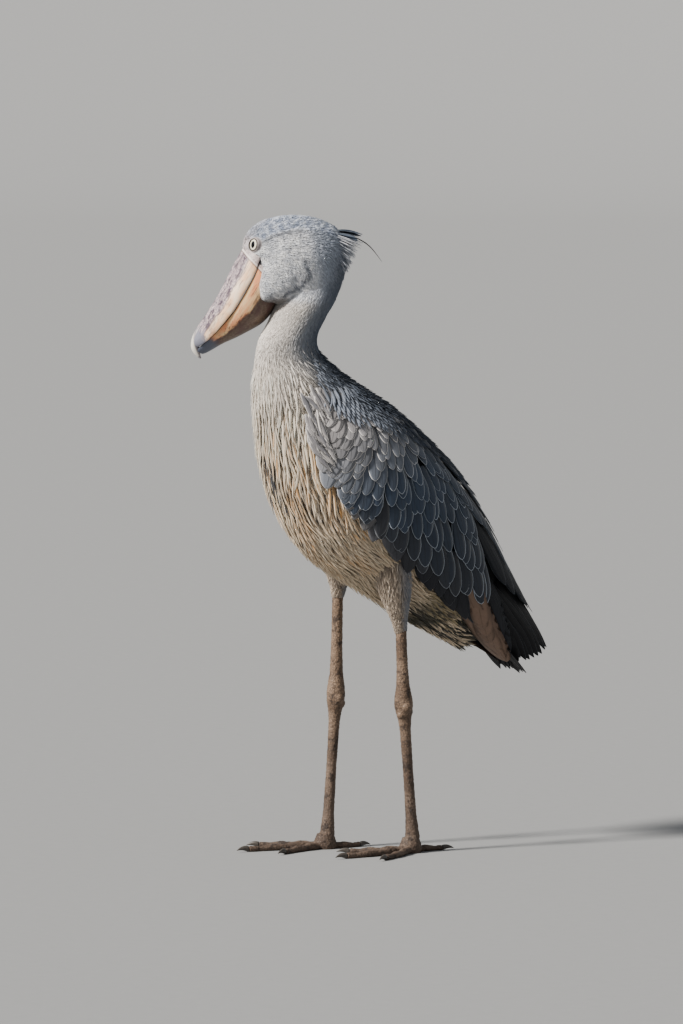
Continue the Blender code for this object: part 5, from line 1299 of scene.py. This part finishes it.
vane_looks = {"covert": feather_look("covert_vanes", 0.65, 1.30, 0.7, 60, 0.78, 0.66), "flight": feather_look("flight_vanes", 0.2, 0.8, 0.75, 120, 0.85, 0.62, 0.02)}
for side, name in ((1, "left"), (-1, "right")):
    rows = []
    for r in np.linspace(0, 5, 8):
        tips = smooth_at(np.array([np.ravel(row) for row in COVERT_ROWS]), r).reshape(5, 2)
        share = r / 5
        rows.append(("covert", 22 + round(2 * share), tips, (40, 26), (0.054 + 0.034 * share, 0.062 + 0.048 * share),
                     0.0180 + 0.0090 * share, (-0.0048, 0.0006 - 0.0012 * share), 0.0007))
    rows += [(tier, *TIERS[tier]) for tier in TIERS]
    parts = []
    for tier, count, tips, lies, lengths, width, heights, shingle in rows:
        outline = {"primary": "blade", "tertial": "blade", "secondary": "blade", "brown": "flight"}.get(tier, "covert")
        share = np.linspace(0, 1, count)
        tip_rows = smooth_at(tips, share * (len(tips) - 1)) + draw.normal(0, 1, (count, 2)) * ((0.11, 2.6) if tier == "covert" else (0.10, 1.6))
        tip_s, degrees = tip_rows.T
        lie = lies[0] + (lies[1] - lies[0]) * share + draw.normal(0, 2.5, count)
        length = (lengths[0] + (lengths[1] - lengths[0]) * share) * draw.uniform(0.92, 1.08, count)
        lines, outs, base_s, base_turn = over_surface(
            WING, tip_s, np.radians(degrees), lie, length, heights[0], heights[1] + draw.uniform(-0.0006, 0.0006, count), VANE, draw.normal(4, 5, count),
        )
        tone = wing_tone(tip_s, degrees)
        edge, strong = toned(blend_in(2.4, 4.0, tip_s), srgb(250, 246, 242), srgb(200, 212, 228)), draw.uniform(0.4, 1.0, count)
        strong = strong * (1 - 0.75 * blend_in(116, 128, degrees) * blend_in(3.2, 4.4, tip_s)) * (0.25 + 0.75 * blend_in(40, 62, degrees))
        wider = 1 + 0.45 * (1 - blend_in(2.0, 3.8, tip_s)) * (tier == "covert") * blend_in(84, 108, degrees)
        if tier == "primary":
            tone, strong = np.broadcast_to(srgb(12, 13, 17), (count, 3)), strong * 0.15
        if tier == "tertial":
            tone, strong = np.broadcast_to(srgb(15, 20, 28), (count, 3)), strong * 0.3
        if tier == "secondary":
            tone, strong = between(tip_s, [3.2, 4.6, 6.2], [srgb(104, 101, 100), srgb(72, 73, 78), srgb(32, 34, 40)]), strong * 0.5
        if tier == "brown":
            tone, strong = np.broadcast_to(srgb(116, 95, 81), (count, 3)), strong * 0.5
            edge = np.broadcast_to(srgb(140, 118, 100), (count, 3))
        tone = tone * (1 + (draw.uniform(-0.32, 0.18, count) * (1 - 0.5 * blend_in(2.0, 4.0, tip_s))))[:, None]
        spots = np.stack([0.03 + 0.92 * np.clip(base_turn / 2.6, 0, 1), 0.05 + 0.90 * np.clip(base_s / 11 + 0.1, 0, 1)], -1)
        if side < 0:
            lines, outs = lines * (-1, 1, 1), outs * (-1, 1, 1)
        part = feather_mesh(
            "wing_part", lines, outs, width / 2 * wider * draw.uniform(0.92, 1.08, count), outline, tone,
            np.concatenate([edge, strong[:, None]], 1), spots, t=VANE, camber=0.08, thick=0.0006, patch=0.012,
            roll=-side * shingle / (width / 2), columns=5, ragged=0.02,
        )
        part.data.materials.append(vane_looks["covert" if outline == "covert" else "flight"])
        parts.append(part)
    wing = joined(parts, "wing_feathers_" + name)
    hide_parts("wing_" + name)
    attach(wing, "root")


# The tail: twelve straight blackish feathers from the rump's end, the middle pair on top, closed so
# that they lie nearly over one another, with dark loose coverts under their roots.
TAIL_ROOT, TAIL_TIP, TAIL_LENGTH = np.array((0, 0.197, 0.412)), np.array((0, 0.291, 0.299)), 0.150
tail_way = unit(TAIL_TIP - TAIL_ROOT)
tail_up = np.cross(np.array((1.0, 0, 0)), tail_way)
tail_up = tail_up * np.sign(tail_up[2])
lines, rolls = [], []
for k in range(12):
    u = (k + 0.5) / 6 - 1
    fan = math.radians(13) * u
    way = tail_way * math.cos(fan) + np.array((1.0, 0, 0)) * math.sin(fan)
    level = 0.011 * (1 - abs(u)) - 0.003
    reach = (TAIL_LENGTH - 0.018 * abs(u) - draw.uniform(0, 0.016)) * VANE[:, None]
    lines.append(TAIL_ROOT + np.array((u * 0.019, 0, 0)) + way * reach + tail_up * level * (0.35 + 0.65 * VANE[:, None]))
    rolls.append(-0.10 * np.sign(u))
tail_tone = srgb(12, 13, 17) * draw.uniform(0.85, 1.15, 12)[:, None]
tail = feather_mesh(
    "tail_feathers", np.array(lines), np.broadcast_to(tail_up, (12, 13, 3)), 0.0145, "blade", tail_tone,
    np.concatenate([tail_tone * 1.6, np.full((12, 1), 0.4)], 1), np.stack([0.08 + 0.075 * np.arange(12), np.full(12, 0.5)], -1),
    t=VANE, camber=0.10, thick=0.0008, patch=0.05, roll=np.array(rolls), columns=7, ragged=0.02,
)
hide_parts("tail")
dress(tail, vane_looks["flight"])

s, turn = strewn(BODY, 12.4, 17.4, 900, stepped([12, 17], [92, 78]), stepped([0], [181]))
points, out, base_s, base_turn = over_surface(
    BODY, s, turn, draw.normal(0, 7, len(s)), draw.uniform(0.060, 0.090, len(s)), -0.009, draw.uniform(-0.002, 0.003, len(s)), LONG, draw.normal(0, 8, len(s)),
)
buff = blend_in(0.2, 0.7, mottle(points[:, 3], 8, 41))
tone = toned(buff, srgb(40, 38, 30), srgb(140, 126, 98)) * draw.uniform(0.6, 1.2, len(s))[:, None]
dress(feather_mesh(
    "undertail_coverts", points, out, draw.uniform(0.003, 0.0052, len(s)), "lance", tone, np.minimum(tone * 1.5, 0.8), body_spots(base_s, base_turn),
    thick=0.0006, roll=draw.normal(0, 0.3, len(s)), ragged=0.12,
), belly_look)


# The thighs: short woolly feathers of grey buff, brown in front, painted bluish grey as shade on the side away
# from the key light, that lie down the leg and shorten to a close cuff over the bare shank.
for name, leg in LEGS.items():
    hip, knee, cuff = (np.array(leg[key]) for key in ("hip", "knee", "cuff"))
    count = 3000
    i = np.arange(count)
    share = (0.06 + 0.95 * (i + 0.5) / count)
    turn = i * GOLDEN
    axis = np.where((share < 0.5)[:, None], hip + (knee - hip) * (share / 0.5)[:, None], knee + (cuff - knee) * ((share - 0.5) / 0.5)[:, None])
    radius = np.interp(share, [0, 0.25, 0.5, 0.78, 1.0], [0.034, 0.030, 0.0205, 0.0120, 0.0092])
    around = np.stack([np.cos(turn), np.sin(turn), np.zeros(count)], -1)
    roots = axis + around * radius[:, None]
    lies = np.array((0, 0.05, -1.0)) + draw.normal(0, 0.14, (count, 3))
    lengths = np.interp(share, [0, 0.6, 1], [0.026, 0.016, 0.008]) * draw.uniform(0.8, 1.2, count)
    centre, out = comb(roots, lies, lengths, 3, -0.0006, np.interp(share, [0, 0.6, 1], [0.0040, 0.0028, 0.0012]) * draw.uniform(0.5, 1.3, count))
    tone = toned(draw.uniform(0, 1, count), srgb(112, 99, 86), srgb(184, 168, 150))
    # Painted shade: the side facing the camera's right, away from the key light, is toned to a bluish grey.
    tone = toned(blend_in(0.2, 1.0, around @ np.array((0.5, 0.866, 0))) * 0.8, tone, srgb(112, 120, 132))
    tone = toned(blend_in(0.86, 1.0, share) * 0.6, tone, srgb(112, 92, 76))
    coat = feather_mesh(
        "thigh_coat_" + name, centre, out, draw.uniform(0.0011, 0.0020, count), "tuft", tone, np.minimum(tone * 1.4, 0.8),
        np.stack([0.02 + 0.96 * (turn / (2 * math.pi) % 1), 0.02 + 0.96 * share], -1), roll=draw.normal(0, 0.3, count),
    )
    dress(coat, neck_look)


# The bare legs: scaly grey brown skin over bone, thin shanks, knobbly hocks, long tarsi, and four
# long free toes on each foot. One unbroken skin with raised scales, its soles flat on the floor.
leg_skin, tree, shader = new_material("leg_skin", 0.62, 0.3)
where = node(tree, "ShaderNodeTexCoord").outputs["Object"]
cells = node(tree, "ShaderNodeTexVoronoi", Vector=node(tree, "ShaderNodeMapping", Vector=where, Scale=(1.0, 1.0, 0.75)).outputs[0])
cells.feature = "DISTANCE_TO_EDGE"
cells.inputs["Scale"].default_value = 330
groove = ramp(tree, cells.outputs["Distance"], 0.0, 0.16)
blots = noise(tree, where, 60, 5, 0.65)
tone = mixed(tree, ramp(tree, noise(tree, where, 25, 4), 0.35, 0.65), srgb(100, 80, 64), srgb(136, 113, 93))
tone = mixed(tree, maths(tree, "MULTIPLY", ramp(tree, blots, 0.52, 0.62), 0.8), tone, srgb(48, 38, 33))
# Painted shade: the leg skin is darkened and cooled towards the feet, below about 0.34 m.
low = ramp(tree, node(tree, "ShaderNodeSeparateXYZ", Vector=where).outputs[2], 0.04, 0.34)
tone = mixed(tree, 1.0, tone, mixed(tree, low, (0.56, 0.58, 0.64), (1.0, 1.0, 1.0)), "MULTIPLY")
tree.links.new(mixed(tree, maths(tree, "ADD", 0.35, maths(tree, "MULTIPLY", groove, 0.65)), srgb(46, 38, 34), tone), shader.inputs["Base Color"])
bumped(tree, shader, maths(tree, "ADD", groove, maths(tree, "MULTIPLY", blots, 0.4)), 0.6, 0.0007)

scale_pattern = bpy.data.textures.new("scale_pattern", "VORONOI")
scale_pattern.noise_scale = 0.0042
scale_pattern.distance_metric = "DISTANCE"
scale_pattern.weight_1, scale_pattern.weight_2 = 1.0, 0.0

TOES = {
    "inner": (-30, 0.105, 0.0085), "middle": (0, 0.140, 0.0090), "outer": (30, 0.115, 0.0085), "hind": (176, 0.062, 0.0080),
}
CLAW_LENGTH = 0.024
claw_horn, tree, shader = new_material("claw_horn", 0.4, 0.4)
streak = noise(tree, node(tree, "ShaderNodeTexCoord").outputs["Object"], 300, 3)
tree.links.new(mixed(tree, streak, srgb(34, 31, 30), srgb(84, 78, 72)), shader.inputs["Base Color"])
bumped(tree, shader, streak, 0.3, 0.0004)

for name, leg in LEGS.items():
    cuff, hock, ankle = (np.array(leg[key]) for key in ("cuff", "hock", "ankle"))
    way = unit(hock - cuff)
    share = np.linspace(0, 1, 30)[:, None]
    upper = (cuff - way * 0.035) * (1 - share) + (hock - way * 0.002) * share
    lower = hock + (ankle - hock) * np.linspace(0.02, 1.0, 60)[:, None]
    upper_radii = np.interp(share[:, 0], [0, 0.3, 0.6, 0.82, 0.93, 1.0], [0.0095, 0.0096, 0.0100, 0.0118, 0.0150, 0.0160])
    lower_radii = np.interp(np.linspace(0.02, 1.0, 60), [0.02, 0.06, 0.12, 0.20, 0.5, 0.84, 1.0], [0.0160, 0.0148, 0.0116, 0.0098, 0.0089, 0.0098, 0.0130])
    bone_line = np.concatenate([upper, lower])
    forms = [drawn_through("leg_form", tube_rings(bone_line, np.concatenate([upper_radii, lower_radii]), 28, 1.08))]
    for across, behind, down, radius in ((0.0085, 0.0, -0.006, 0.0110), (-0.0085, 0.0, -0.005, 0.0112), (0.0, -0.0075, 0.006, 0.0105), (0.0, 0.0085, -0.016, 0.0098), (0.003, -0.006, -0.020, 0.0090)):
        bpy.ops.mesh.primitive_uv_sphere_add(segments=20, ring_count=12, radius=radius, location=hock + np.array((across, behind, down)))
        forms.append(bpy.context.object)

    outwards = 1 if name == "left" else -1
    centre = np.array((ankle[0], ankle[1] - 0.004, 0))
    pad_stops = centre + np.array([(0, 0, 0.0280), (0, 0, 0.016), (0, 0, 0.006), (0, 0, -0.003)])
    forms.append(drawn_through("pad_form", tube_rings(pad_stops, [0.0138, 0.0180, 0.0188, 0.0160], 24, 1.12)))
    for toe, (turned, length, radius) in TOES.items():
        heading = leg["heading"] + math.radians(turned) * outwards
        ahead = np.array((math.sin(heading), -math.cos(heading), 0))
        sideways = np.cross(np.array((0, 0, 1.0)), ahead)
        bones = 2 if toe == "hind" else 3
        t = np.linspace(0, 1, 24)
        knuckle = 0.92 + 0.08 * np.cos(2 * math.pi * bones * t)
        radii = radius * (1 - 0.34 * t) * knuckle
        stops = centre + ahead * (0.006 + length * t)[:, None] + sideways * (np.sin(t * math.pi) * 0.004 * outwards)[:, None]
        stops[:, 2] += radii * 0.86
        turn = np.linspace(0, 2 * math.pi, 20, endpoint=False)
        rings = stops[:, None] + (sideways * np.cos(turn)[:, None] + np.array((0, 0, 1.0)) * np.sin(turn)[:, None])[None] * radii[:, None, None]
        forms.append(drawn_through("toe_form", rings))
        base, onward, r = stops[-1], unit(stops[-1] - stops[-4]), radii[-1]
        claw_t = np.linspace(0, 1, 12)
        claw_stops = base + onward * (claw_t * CLAW_LENGTH)[:, None]
        claw_stops[:, 2] += r * (0.45 * np.sin(claw_t * 2.6) - 0.62 * claw_t ** 2)
        claw_radii = r * 0.86 * (1 - claw_t ** 1.6) + 0.0004
        rings = claw_stops[:, None] + (sideways * np.cos(turn)[:, None] * 0.8 + np.array((0, 0, 1.0)) * np.sin(turn)[:, None])[None] * claw_radii[:, None, None]
        rings[..., 2] = np.maximum(rings[..., 2], 0.0003)
        claw = drawn_through(f"claw_horn_{toe}_{name}", rings)
        apply_modifier(claw, "SUBSURF", levels=1, render_levels=1)
        claw.data.materials.append(claw_horn)
        claw.data.shade_smooth()
        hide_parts(f"claw_{toe}_{name}")
        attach(claw, "root")
    limb = joined(forms, "leg_skin_" + name)
    apply_modifier(limb, "REMESH", mode="VOXEL", voxel_size=0.0013)
    apply_modifier(limb, "SMOOTH", factor=0.5, iterations=4)
    apply_modifier(limb, "DISPLACE", texture=scale_pattern, texture_coords="LOCAL", strength=-0.0013, mid_level=0.25)
    places = vertex_places(limb)
    places[:, 2] = np.maximum(places[:, 2], 0.0)
    move_vertices(limb, places)
    limb.data.materials.append(leg_skin)
    limb.data.shade_smooth()
    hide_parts("shank_" + name, "tarsus_" + name, "foot_" + name)
    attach(limb, "root")
